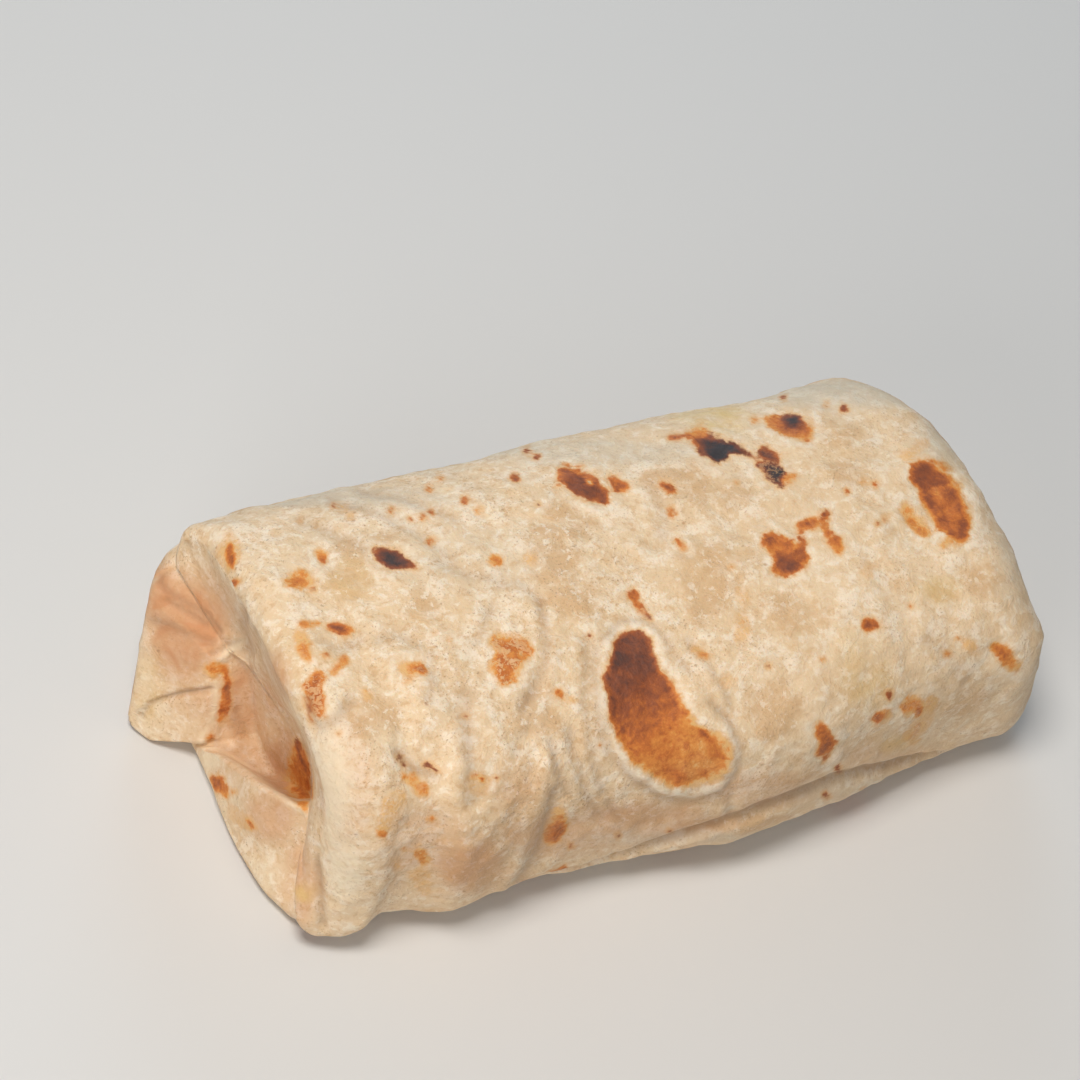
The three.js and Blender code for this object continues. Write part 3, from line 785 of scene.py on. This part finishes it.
# scattered marks: each three balls in a bent row cutting the surface, small ones the most common
def layHidden():
    draw = np.random.default_rng(hiddenMarks["seed"])
    flat = skin.reshape(-1, 3)
    unseen = np.flatnonzero((facing < -0.12).ravel())
    chance = areas.ravel()[unseen]
    for _ in range(hiddenMarks["count"]):
        place = flat[draw.choice(unseen, p=chance / chance.sum())]
        size = hiddenMarks["small"] + (hiddenMarks["large"] - hiddenMarks["small"]) * draw.random() ** 4.5
        tone, speckle = draw.uniform(0.2, 0.75), draw.uniform(0, 0.6)
        step = draw.normal(0, 0.6 * size, 3)
        depth = np.full(viewX.shape, -8.0)
        for part in (1.0, draw.uniform(0.5, 0.95), draw.uniform(0.3, 0.8)):
            depth = np.maximum(depth, part * size - np.linalg.norm(skin - place, axis=-1))
            step = step + draw.normal(0, 0.35 * size, 3)
            place = place + step
        depth = np.minimum(depth, np.maximum((0.12 - facing) * 20, (0.5 - seen) * 12))
        layMark(depth, tone, speckle, 0.6 if size > 3 else 0.0, size)


spotLook = {"speckle": 0.15, "halo": 0.25}
blister = {"height": 0.3, "outside": 1.5, "width": 1.0, "sunk": 0.15}

for marks, where in ((skinMarks, ~onFold), (foldMarks, onFold)):
    for chain, speckle, halo in marks.values():
        layChain(chain, speckle, halo, where)
for spotGroup in spots.values():
    for spot in spotGroup:
        layChain([spot], where=~onFold, **spotLook)
layHidden()
print("marks laid")

# a low blister round the larger marks, and the mark itself a little sunk
raised = blister["height"] * np.exp(-((mark["depth"] + blister["outside"]) / blister["width"]) ** 2)
relief += mark["halo"] * (raised - blister["sunk"] * smooth(-0.3, 0.8, mark["depth"]))

# patches: soft ovals in the camera's frame, each (x, y, half width, half height, strength)
dampPatches = {
    "rimLeft": (350, 580, 36, 30, 0.9), "farLeft": (340, 548, 30, 12, 0.7), "farMiddle": (560, 520, 45, 26, 0.7),
    "topMiddle": (548, 565, 45, 26, 0.7), "farRight": (700, 482, 60, 30, 0.5), "aboveBean": (705, 580, 42, 50, 0.8),
    "right": (800, 615, 45, 35, 0.8), "besideBean": (775, 715, 38, 42, 0.8), "lowRight": (868, 680, 34, 40, 0.4),
    "nearLeft": (375, 715, 34, 30, 0.9), "besideChar": (835, 432, 30, 20, 0.6),
    "cornerFar": (850, 470, 36, 22, 0.5), "endShoulder": (985, 578, 30, 22, 0.8),
    "endInner": (945, 592, 24, 16, 0.7), "besidePlum": (425, 612, 22, 22, 0.8),
    "abovePlum": (385, 536, 18, 10, 0.5), "belowBean": (660, 815, 60, 16, 0.6),
    "seamRight": (800, 770, 45, 22, 0.6), "endLow": (890, 740, 34, 18, 0.5), "middle": (575, 600, 34, 44, 0.6),
    "nearFolds": (540, 712, 26, 34, 1), "seamStrip": (750, 824, 90, 10, 0.9), "nearFloor": (470, 860, 36, 34, 0.7),
    "nearMiddle": (520, 800, 30, 26, 0.4), "upper": (610, 560, 26, 24, 0.3), "aboveRight": (740, 560, 30, 22, 0.3),
    "endNear": (960, 700, 40, 26, 0.4), "endTop": (900, 590, 30, 30, 0.3),
}
# flour islands; those named for the rim also paint the light along it: painted highlight
flourPatches = {
    "rim": (330, 770, 34, 80, 1), "rimTop": (335, 690, 20, 30, 0.7), "rimFar": (300, 610, 26, 22, 0.6),
    "rimFoot": (345, 870, 26, 40, 0.8), "corner": (235, 530, 34, 16, 0.6), "farEdge": (420, 520, 80, 26, 0.5),
    "farMiddle": (600, 512, 34, 16, 0.6), "upperLeft": (322, 552, 18, 14, 0.6), "middle": (500, 610, 30, 22, 0.5),
    "endShoulder": (1000, 632, 26, 16, 0.6), "belowBean": (690, 795, 30, 8, 0.6),
    "nearSeam": (745, 770, 26, 20, 0.5), "nearFolds": (560, 745, 16, 18, 0.6), "right": (850, 590, 24, 22, 0.5),
    "lowRight": (800, 700, 20, 16, 0.3), "top": (660, 555, 24, 16, 0.5), "farTop": (520, 470, 60, 16, 0.3),
    "rightLow": (880, 620, 26, 18, 0.4), "besideOval": (930, 545, 24, 14, 0.4),
    "aboveSpeckled": (470, 640, 22, 26, 0.4), "farRight": (700, 520, 34, 14, 0.3),
}
# painted shade and bounce light: warm patches in the left end's recess and low along the near side and the seam; a
# faint one warms the painted highlight on the rim
warmShadePatches = {
    "mouth": (262, 700, 34, 40, 0.5), "pocket": (285, 760, 26, 44, 0.8), "gusset": (188, 628, 50, 62, 1.3),
    "gussetEdge": (160, 600, 34, 44, 1.1), "gussetLow": (200, 705, 34, 24, 0.5),
    "mouthSide": (243, 700, 24, 46, 0.9), "nearFloor": (462, 862, 50, 36, 0.65),
    "flapCorner": (300, 880, 26, 50, 0.5), "flapMiddle": (272, 815, 30, 34, 0.7), "slope": (276, 686, 18, 40, 0.75),
    "nearSeam": (560, 835, 80, 24, 0.5), "seamMiddle": (650, 822, 90, 22, 0.6),
    "seamRight": (760, 790, 70, 22, 0.35), "endLow": (880, 755, 60, 18, 0.25),
    "nearMiddle": (520, 790, 40, 40, 0.2), "rim": (345, 790, 34, 80, 0.34), "nearCorner": (430, 850, 56, 50, 0.45),
    "flapFoot": (304, 880, 15, 50, 0.75),
}
# painted light: a cool sheen along the far edge and the end, and painted grey shade along the seam, on the left end's
# slope and in dips
coolSheenAndShadePatches = {
    "farCorner": (850, 392, 110, 20, 0.9), "farMiddle": (600, 452, 160, 14, 0.7),
    "farLeft": (330, 498, 130, 12, 0.7), "endCorner": (945, 440, 34, 34, 0.7), "endEdge": (1010, 560, 18, 60, 0.4),
    "seamEdge": (690, 838, 110, 8, 0.5), "seamFloor": (880, 790, 110, 14, 0.45),
    "slopeTop": (248, 612, 26, 26, 0.2), "greyDip": (532, 712, 20, 46, 0.25), "greyFold": (470, 700, 40, 60, 0.15),
    "upperHaze": (470, 560, 90, 40, 0.25),
}
# painted highlight: pale ovals where the light catches the rim
rimHighlightPatches = {
    "rim": (332, 790, 24, 70, 1), "rimTop": (330, 700, 14, 30, 0.5), "rimFoot": (346, 870, 22, 40, 0.9),
    "shoulder": (385, 735, 20, 16, 0.4),
}
# painted highlight on the left end's flap and gusset
flapHighlightPatches = {
    "flapTip": (210, 760, 16, 12, 0.9), "flapSide": (228, 802, 18, 26, 0.5), "flapLow": (262, 874, 32, 26, 0.45),
    "gussetLow": (150, 725, 30, 16, 0.3), "gussetSide": (142, 660, 14, 60, 0.4),
}
yellowPatches = {
    "aboveChar": (722, 420, 34, 18, 1), "besideChar": (690, 415, 26, 10, 0.6), "end": (940, 590, 26, 16, 0.6),
    "endLow": (900, 745, 30, 12, 0.5), "gusset": (150, 690, 18, 40, 0.4), "nearFloor": (420, 885, 16, 18, 0.4),
    "right": (855, 655, 26, 30, 0.3), "lowRight": (868, 682, 30, 34, 0.45), "flapFoot": (306, 893, 14, 12, 0.8),
    "upperLeft": (350, 580, 30, 24, 0.35),
}


# the strongest of the ovals at each point, each one strength times a soft disc
def layPatches(patches, where):
    total = np.zeros(viewX.shape)
    for x, y, w, h, strength in patches.values():
        reach = np.hypot((viewX - x) / w, (viewY - y) / h)
        total = np.maximum(total, strength * (1 - smooth(0.35, 1.25, reach)))
    return total * where


# on the sides turned away, patches come from slow waves, cut off between two heights
awayPatches = {
    "damp": ({"count": 16, "wave": [16, 38], "height": 1.0, "seed": 31}, 0.35, 0.9, 0.85),
    "flour": ({"count": 16, "wave": [12, 30], "height": 1.0, "seed": 37}, 0.2, 1.0, 0.8),
    "warm": ({"count": 12, "wave": [24, 60], "height": 1.0, "seed": 41}, 0.2, 1.2, 0.45),
}


# an S of the waves from low to high, times the strength, only where the skin turns away
def layAway(name):
    waves, low, high, strength = awayPatches[name]
    return (1 - smooth(0.0, 0.2, facing)) * strength * smooth(low, high, waveSum(**waves))


damp = layPatches(dampPatches, shown * ~onFold) + layAway("damp")
flour = layPatches(flourPatches, shown * ~onFold) + layAway("flour")
# the warm tint: painted shade on the side in view, the sheet's own warmer tone where it turns away
warm = layPatches(warmShadePatches, shown) + layAway("warm")
yellow = layPatches(yellowPatches, shown)
# the cool tint: painted sheen and painted grey shade
cool = layPatches(coolSheenAndShadePatches, shown)

# the sheet is busier towards the left end
busy = smooth(35, -25, skin[..., 0])

# painted shade: the left end's mouth is painted warmer all over inside, as shade and bounce light, and less and less
# so across its face
mouthShadeTint = {"inside": 0.35, "edge": 0.25}
mouthRings = leftEnd["rings"][0]
mouthWarmShade = np.zeros(viewX.shape)
mouthWarmShade[:mouthRings] = mouthShadeTint["inside"]
mouthWarmShade[mouthRings:foldCount] = np.linspace(mouthShadeTint["edge"], 0.0, foldCount - mouthRings)[:, None]
warm = np.maximum(warm, mouthWarmShade)

# painted highlight: the rim, the flap's tip and the edges of the folds are painted pale where the light catches them
rimHighlight = np.maximum(layPatches(rimHighlightPatches, shown * ~onFold), layPatches(flapHighlightPatches, shown * onFold))
foldEdgeHighlights = {
    "flapTop": [(202, 745), (222, 752), (246, 766), (268, 784), (290, 801), (304, 810)],
    "flapUpper": [(201, 742), (212, 720), (217, 694), (216, 668), (226, 652), (240, 643)],
    "gussetCorner": [(182, 545), (160, 560), (146, 590)],
}
highlightWidth = 0.9                 # in millimetres
for line in foldEdgeHighlights.values():
    bell = np.exp(-(chainDistance(line)[0] / pixelsPerMm / highlightWidth) ** 2)
    rimHighlight = np.maximum(rimHighlight, bell * shown * onFold)

# the relief stands along the normals, with none beside the poles and nothing under the floor
grown = np.ones(skin.shape[0])
grown[:3], grown[-3:] = 0, 0
skin = skin + normals * (relief * grown[:, None])[..., None]
skin[..., 2] = np.maximum(skin[..., 2], 0)


# one closed skin: quads between the rings, and at each end triangles to a pole at the middle of the last ring
def makeSkin(name, grid, traits):
    rings, stations = grid.shape[:2]
    points = np.concatenate([grid.reshape(-1, 3), grid[:1].mean(1), grid[-1:].mean(1)]) / 1000
    ring = np.arange(rings * stations).reshape(rings, stations)
    after = np.roll(ring, -1, 1)
    quads = np.stack([ring[:-1], ring[1:], after[1:], after[:-1]], -1).reshape(-1, 4)
    firstPole, lastPole = rings * stations, rings * stations + 1
    caps = np.concatenate([
        np.stack([ring[0], after[0], np.full(stations, firstPole)], -1),
        np.stack([after[-1], ring[-1], np.full(stations, lastPole)], -1)])
    mesh = bpy.data.meshes.new(name)
    mesh.from_pydata(points.tolist(), [], quads.tolist() + caps.tolist())
    for label, value in traits.items():
        flat = np.concatenate([value.ravel(), value[0].mean(keepdims=True), value[-1].mean(keepdims=True)])
        mesh.attributes.new(label, "FLOAT", "POINT").data.foreach_set("value", flat.astype(np.float32))
    mesh.polygons.foreach_set("use_smooth", np.ones(len(mesh.polygons), bool))
    mesh.validate()
    mesh.update()
    piece = bpy.data.objects.new(name, mesh)
    bpy.context.scene.collection.objects.link(piece)
    return piece


# among these, the creases' painted shade, the rim's painted highlight, and the warm and cool tints, which are largely
# painted shade and sheen
burrito = makeSkin("burritoSkin", skin, {
    "charDepth": np.clip(mark["depth"], -6, 6), "charTone": mark["tone"], "charSpeckle": mark["speckle"],
    "charHalo": mark["halo"], "charSize": mark["size"], "groove": groove, "busy": busy, "rim": rimHighlight, "damp": damp,
    "flour": flour, "warm": warm, "yellow": yellow, "cool": cool,
})
print("burrito", len(burrito.data.polygons), "faces")


class Wire:
    # one socket; each operator on it adds a Math node to its sheet
    def __init__(self, sheet, socket):
        self.sheet = sheet
        self.socket = socket

    # the named operation on the values, in their order
    def math(self, operation, *values):
        return self.sheet.node("ShaderNodeMath", {"operation": operation}, dict(enumerate(values)))

    def __add__(self, other):
        return self.math("ADD", self, other)

    def __sub__(self, other):
        return self.math("SUBTRACT", self, other)

    def __rsub__(self, other):
        return self.math("SUBTRACT", other, self)

    def __mul__(self, other):
        return self.math("MULTIPLY", self, other)

    __radd__ = __add__
    __rmul__ = __mul__

    def absolute(self):
        return self.math("ABSOLUTE", self)

    def least(self, other):
        return self.math("MINIMUM", self, other)

    # an S from 0 at low to 1 at high
    def step(self, low, high):
        settings = {"interpolation_type": "SMOOTHSTEP"}
        return self.sheet.node("ShaderNodeMapRange", settings, {0: self, 1: low, 2: high, 3: 0.0, 4: 1.0})


class Sheet:
    # the node tree of one material
    def __init__(self, name):
        self.material = bpy.data.materials.new(name)
        self.material.use_nodes = True
        self.tree = self.material.node_tree
        self.tree.nodes.clear()

    # a node of a kind: its settings first, a ramp's stops among them, then the values or links of its sockets
    def node(self, kind, settings, values, output=0):
        node = self.tree.nodes.new(kind)
        for key, value in settings.items():
            if key == "stops":
                ramp = node.color_ramp
                while len(ramp.elements) > 1:
                    ramp.elements.remove(ramp.elements[-1])
                ramp.elements[0].position = value[0][0]
                ramp.elements[0].color = (*value[0][1], 1)
                for place, colour in value[1:]:
                    ramp.elements.new(place).color = (*colour, 1)
            else:
                setattr(node, key, value)
        for key, value in values.items():
            if isinstance(value, Wire):
                self.tree.links.new(value.socket, node.inputs[key])
            else:
                node.inputs[key].default_value = value
        return Wire(self, node.outputs[output]) if len(node.outputs) else None

    # a where the factor is 0, b where it is 1
    def blend(self, factor, a, b):
        a, b = ((*colour, 1) if isinstance(colour, tuple) else colour for colour in (a, b))
        return self.node("ShaderNodeMix", {"data_type": "RGBA"}, {0: factor, 6: a, 7: b}, 2)

    # a noise whose waves are about size millimetres long
    def noise(self, place, size, detail=2.0, rough=0.5, warp=0.0):
        values = {"Vector": place, "Scale": 1000 / size, "Detail": detail, "Roughness": rough, "Distortion": warp}
        return self.node("ShaderNodeTexNoise", {}, values)

    # a value that the mesh carries at its points
    def trait(self, name):
        return self.node("ShaderNodeAttribute", {"attribute_name": name}, {}, 2)


# a colour from screen values to the linear ones that nodes take: the value and 0.055 over 1.055, to the power 2.4
def screen(r, g, b):
    return tuple(((v / 255 + 0.055) / 1.055) ** 2.4 if v > 10 else v / 3294.6 for v in (r, g, b))


tortilla = {
    "cream": screen(231, 203, 166),
    "pale": screen(244, 227, 203),
    "damp": screen(211, 172, 127),
    # the warm tint: painted shade in the recesses and low on the near side, and the sheet's own warmer tone where the
    # skin turns away
    "warm": screen(205, 148, 104),
    "yellow": screen(224, 190, 118),
    "blush": screen(223, 191, 150),
    # crease: the colour of the painted shade in the creases
    "crease": screen(150, 114, 86),
    # rim: the colour of the painted highlight on the rim and the fold edges
    "rim": screen(240, 222, 190),
    # cool: the colour of the painted sheen and the painted grey shade
    "cool": screen(199, 191, 173),
    "gold": screen(224, 168, 104),
    "toast": [(0.0, screen(227, 180, 118)), (0.2, screen(220, 144, 70)), (0.4, screen(198, 114, 54)),
              (0.6, screen(152, 84, 50)), (0.8, screen(114, 68, 52)), (0.92, screen(84, 62, 56)),
              (1.0, screen(62, 56, 56))],
    "fleck": screen(160, 112, 74),
    "roughness": [0.6, 0.78],
    "noises": {                 # each its size in millimetres, its detail, its roughness and how warped it is
        "wide": (24.0, 2.0, 0.5, 0.0), "patch": (9.0, 3.0, 0.55, 0.6), "flour": (3.4, 4.0, 0.6, 0.5),
        "grain": (1.1, 3.0, 0.6, 0.0), "ragged": (1.6, 3.0, 0.6, 0.5), "lobes": (4.2, 2.0, 0.5, 0.4),
        "curls": (5.5, 2.0, 0.45, 1.6), "mottle": (2.0, 4.0, 0.65, 0.3), "grit": (0.55, 2.0, 0.6, 0.0),
        "clouds": (11.0, 3.0, 0.55, 0.8), "fine": (0.9, 3.0, 0.6, 0.6), "streaks": (7.0, 5.0, 0.65, 1.4),
    },
    "fleckSize": 6.5,
    "bump": 0.5,                # millimetres
}


# thin lines where a noise crosses its middle value
def veins(noise, width):
    return 1 - (noise - 0.5).absolute().step(0.0, width)


# layers of colour over cream, each laid on with its own mask
def makeTortilla():
    sheet = Sheet("tortilla")
    place = sheet.node("ShaderNodeTexCoord", {}, {}, 3)
    wide, patch, flour, grain, ragged, lobes, curls, mottle, grit, clouds, fine, streaks = (
        sheet.noise(place, *sizes) for sizes in tortilla["noises"].values())
    depth, tone, speckle, halo, size = (
        sheet.trait(name) for name in ("charDepth", "charTone", "charSpeckle", "charHalo", "charSize"))
    busy, damp, powder, warm, yellow, rim, cool, groove = (
        sheet.trait(name) for name in ("busy", "damp", "flour", "warm", "yellow", "rim", "cool", "groove"))

    # see-through where it is damp, and pale with flour in small islands
    dampMask = (damp * 0.9 + (patch - 0.5) * 2.2 + (grain - 0.5) * 0.5).step(0.15, 0.75)
    flourMask = (powder * 0.55 + (flour - 0.5) * 3.4 + (patch - 0.5) * 1.2).step(-0.1, 0.55) * (1 - dampMask * 0.75)

    # toast: a ragged outline, a golden fringe inside a pale ring, worn where it is speckled and broken up where faint
    swing = size.least(1.6)
    edge = depth + (lobes - 0.5) * swing * 2.0 + (ragged - 0.5) * swing.least(1.0) * 1.5
    ring = edge.step(-2.7, -1.4) * (1 - edge.step(-1.0, -0.1)) * halo * (flour + grain * 0.4).step(0.52, 0.8)
    solid = tone.step(-0.3, 0.28)
    fringe = edge.step(-0.9, 0.3) * solid * (flour + solid).step(0.6, 1.1)
    wear = (fine + (ragged - 0.5) * 0.6).step(0.46, 0.6)
    worn = speckle.step(0.28, 0.75) * wear
    broken = (solid * 1.2 + ((fine - 0.5) * 5.0 + (lobes - 0.5) * 2.5) * (1 - solid)).step(0.5, 1.0)
    toasted = edge.step(-0.15, 0.5) * (1 - worn * 0.75) * broken * (solid * 0.6 + 0.4)

    # each layer's mask and colour, from the bottom up
    layers = [
        (wide.step(0.42, 0.62) * 0.5, "blush"),
        (dampMask * 0.8, "damp"),
        (flourMask * 0.7, "pale"),
        (veins(curls, 0.05) * flour.step(0.4, 0.6) * 0.12, "pale"),
        (veins(flour, 0.03) * patch.step(0.4, 0.6) * 0.2, "damp"),
        (mottle.step(0.52, 0.68) * (busy * 0.25 + 0.5), "damp"),
        ((1 - mottle.step(0.34, 0.46)) * (busy * 0.25 + 0.5), "pale"),
        (grain.step(0.54, 0.68) * (busy * 0.2 + 0.42), "blush"),
        (grit.step(0.58, 0.72) * patch.step(0.4, 0.58) * (busy * 0.2 + 0.4), "crease"),
        # painted shade: the warm, darker tint in the recesses and low on the near side
        (warm * (clouds.step(0.38, 0.6) * 0.3 + 0.62), "warm"),
        (yellow * (patch * 1.4).step(0.3, 0.9) * 0.7, "yellow"),
        # painted highlight on the rim and the fold edges
        (rim * 0.6, "rim"),
        # painted cool sheen along the far edge, and painted grey shade in dips
        (cool * 0.55, "cool"),
        (ring * 0.75, "pale"),
        (fringe * 0.62, "gold"),
    ]
    colour = tortilla["cream"]
    for mask, name in layers:
        colour = sheet.blend(mask, colour, tortilla[name])

    # the tone of the toast runs through the ramp, streaked and darker towards the middle of a mark
    calm = 1.15 - tone * 0.75
    shade = tone + ((flour - 0.5) * 0.6 + (streaks - 0.5) * 0.8) * calm + (grain - 0.5) * 0.2 - speckle * wear * 0.2
    shade = shade + (edge.step(0.0, 1.8) - 0.75) * 0.28 + ((ragged - 0.5) * 0.6 + (fine - 0.5) * 0.7) * (1 - tone)
    browned = sheet.node("ShaderNodeValToRGB", {"stops": tortilla["toast"]}, {0: shade})
    colour = sheet.blend(toasted, colour, browned)

    # dark lines of painted shade in the creases, and a few tiny flecks of scorched flour
    colour = sheet.blend(groove * 0.42, colour, tortilla["crease"])
    flecks = sheet.node("ShaderNodeTexVoronoi", {}, {"Vector": place, "Scale": 1000 / tortilla["fleckSize"]})
    fleckMask = (1 - flecks.step(0.03, 0.085)) * patch.step(0.48, 0.56)
    colour = sheet.blend(fleckMask * 0.5, colour, tortilla["fleck"])

    grainy = (flour * 0.42 + grain * 0.24) * (busy * 0.4 + 1)
    height = patch * 0.8 + grainy + veins(curls, 0.09) * 0.08 - toasted * 0.12
    bump = sheet.node("ShaderNodeBump", {}, {"Strength": 1.0, "Distance": tortilla["bump"] / 1000, "Height": height})
    low, high = tortilla["roughness"]
    shader = sheet.node("ShaderNodeBsdfPrincipled", {}, {
        "Base Color": colour,
        "Roughness": low + (high - low) * flourMask,
        "Normal": bump,
        "Subsurface Weight": 0.1,
        "Subsurface Radius": (1.0, 0.5, 0.25),
        "Subsurface Scale": 0.0012,
        "Specular IOR Level": 0.3,
    })
    sheet.node("ShaderNodeOutputMaterial", {}, {"Surface": shader})
    return sheet.material


burrito.data.materials.append(makeTortilla())
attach(burrito, "root")
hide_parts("burrito")
print("tortilla material")

# a plain pale floor and soft light; places and sizes in metres
studio = {
    "reach": 3.0,               # half the floor's width
    "floor": screen(216, 214, 211),
    "world": {"colour": (0.9, 0.95, 1.0), "strength": 0.24},
    "key": {"place": (-0.26, -0.1, 0.92), "size": 0.3, "power": 5.8, "colour": (1.0, 0.965, 0.92)},
    "fill": {"place": (-0.72, -0.55, 0.42), "size": 0.6, "power": 2.6, "colour": (1.0, 0.965, 0.92)},
    "sky": {"place": (0.3, 0.9, 0.35), "size": 0.5, "power": 2.4, "colour": (0.6, 0.8, 1.0)},
}


# one square, very slightly clouded
def makeFloor():
    mesh = bpy.data.meshes.new("floor")
    r = studio["reach"]
    mesh.from_pydata([(-r, -r, 0), (r, -r, 0), (r, r, 0), (-r, r, 0)], [], [(0, 1, 2, 3)])
    floor = bpy.data.objects.new("floor", mesh)
    bpy.context.scene.collection.objects.link(floor)
    sheet = Sheet("floor")
    place = sheet.node("ShaderNodeTexCoord", {}, {}, 3)
    cloud = sheet.noise(place, 400.0)
    colour = sheet.blend(cloud * 0.05, studio["floor"], (1.0, 1.0, 1.0))
    shader = sheet.node("ShaderNodeBsdfPrincipled", {}, {"Base Color": colour, "Roughness": 0.85})
    sheet.node("ShaderNodeOutputMaterial", {}, {"Surface": shader})
    mesh.materials.append(sheet.material)


# a round lamp that looks at the origin
def makeLight(name, place, size, power, colour):
    light = bpy.data.lights.new(name, "AREA")
    light.color = colour
    light.shape = "DISK"
    light.size = size
    light.energy = power
    lamp = bpy.data.objects.new(name, light)
    away = np.array(place) / np.linalg.norm(place)
    side = np.cross([0, 0, 1], away)
    side /= np.linalg.norm(side)
    top = np.cross(away, side)
    lamp.matrix_world = standing(side, top, away, np.array(place))
    bpy.context.scene.collection.objects.link(lamp)


# a weak even light from all round, and colours shown as they are set
def makeWorld():
    world = bpy.data.worlds.new("studio")
    world.use_nodes = True
    sky = world.node_tree.nodes["Background"]
    sky.inputs["Color"].default_value = (*studio["world"]["colour"], 1)
    sky.inputs["Strength"].default_value = studio["world"]["strength"]
    bpy.context.scene.world = world
    bpy.context.scene.view_settings.view_transform = "Standard"


makeFloor()
makeWorld()
for lampName in ("key", "fill", "sky"):
    makeLight(lampName, **studio[lampName])
makeCamera()
print("studio and camera")
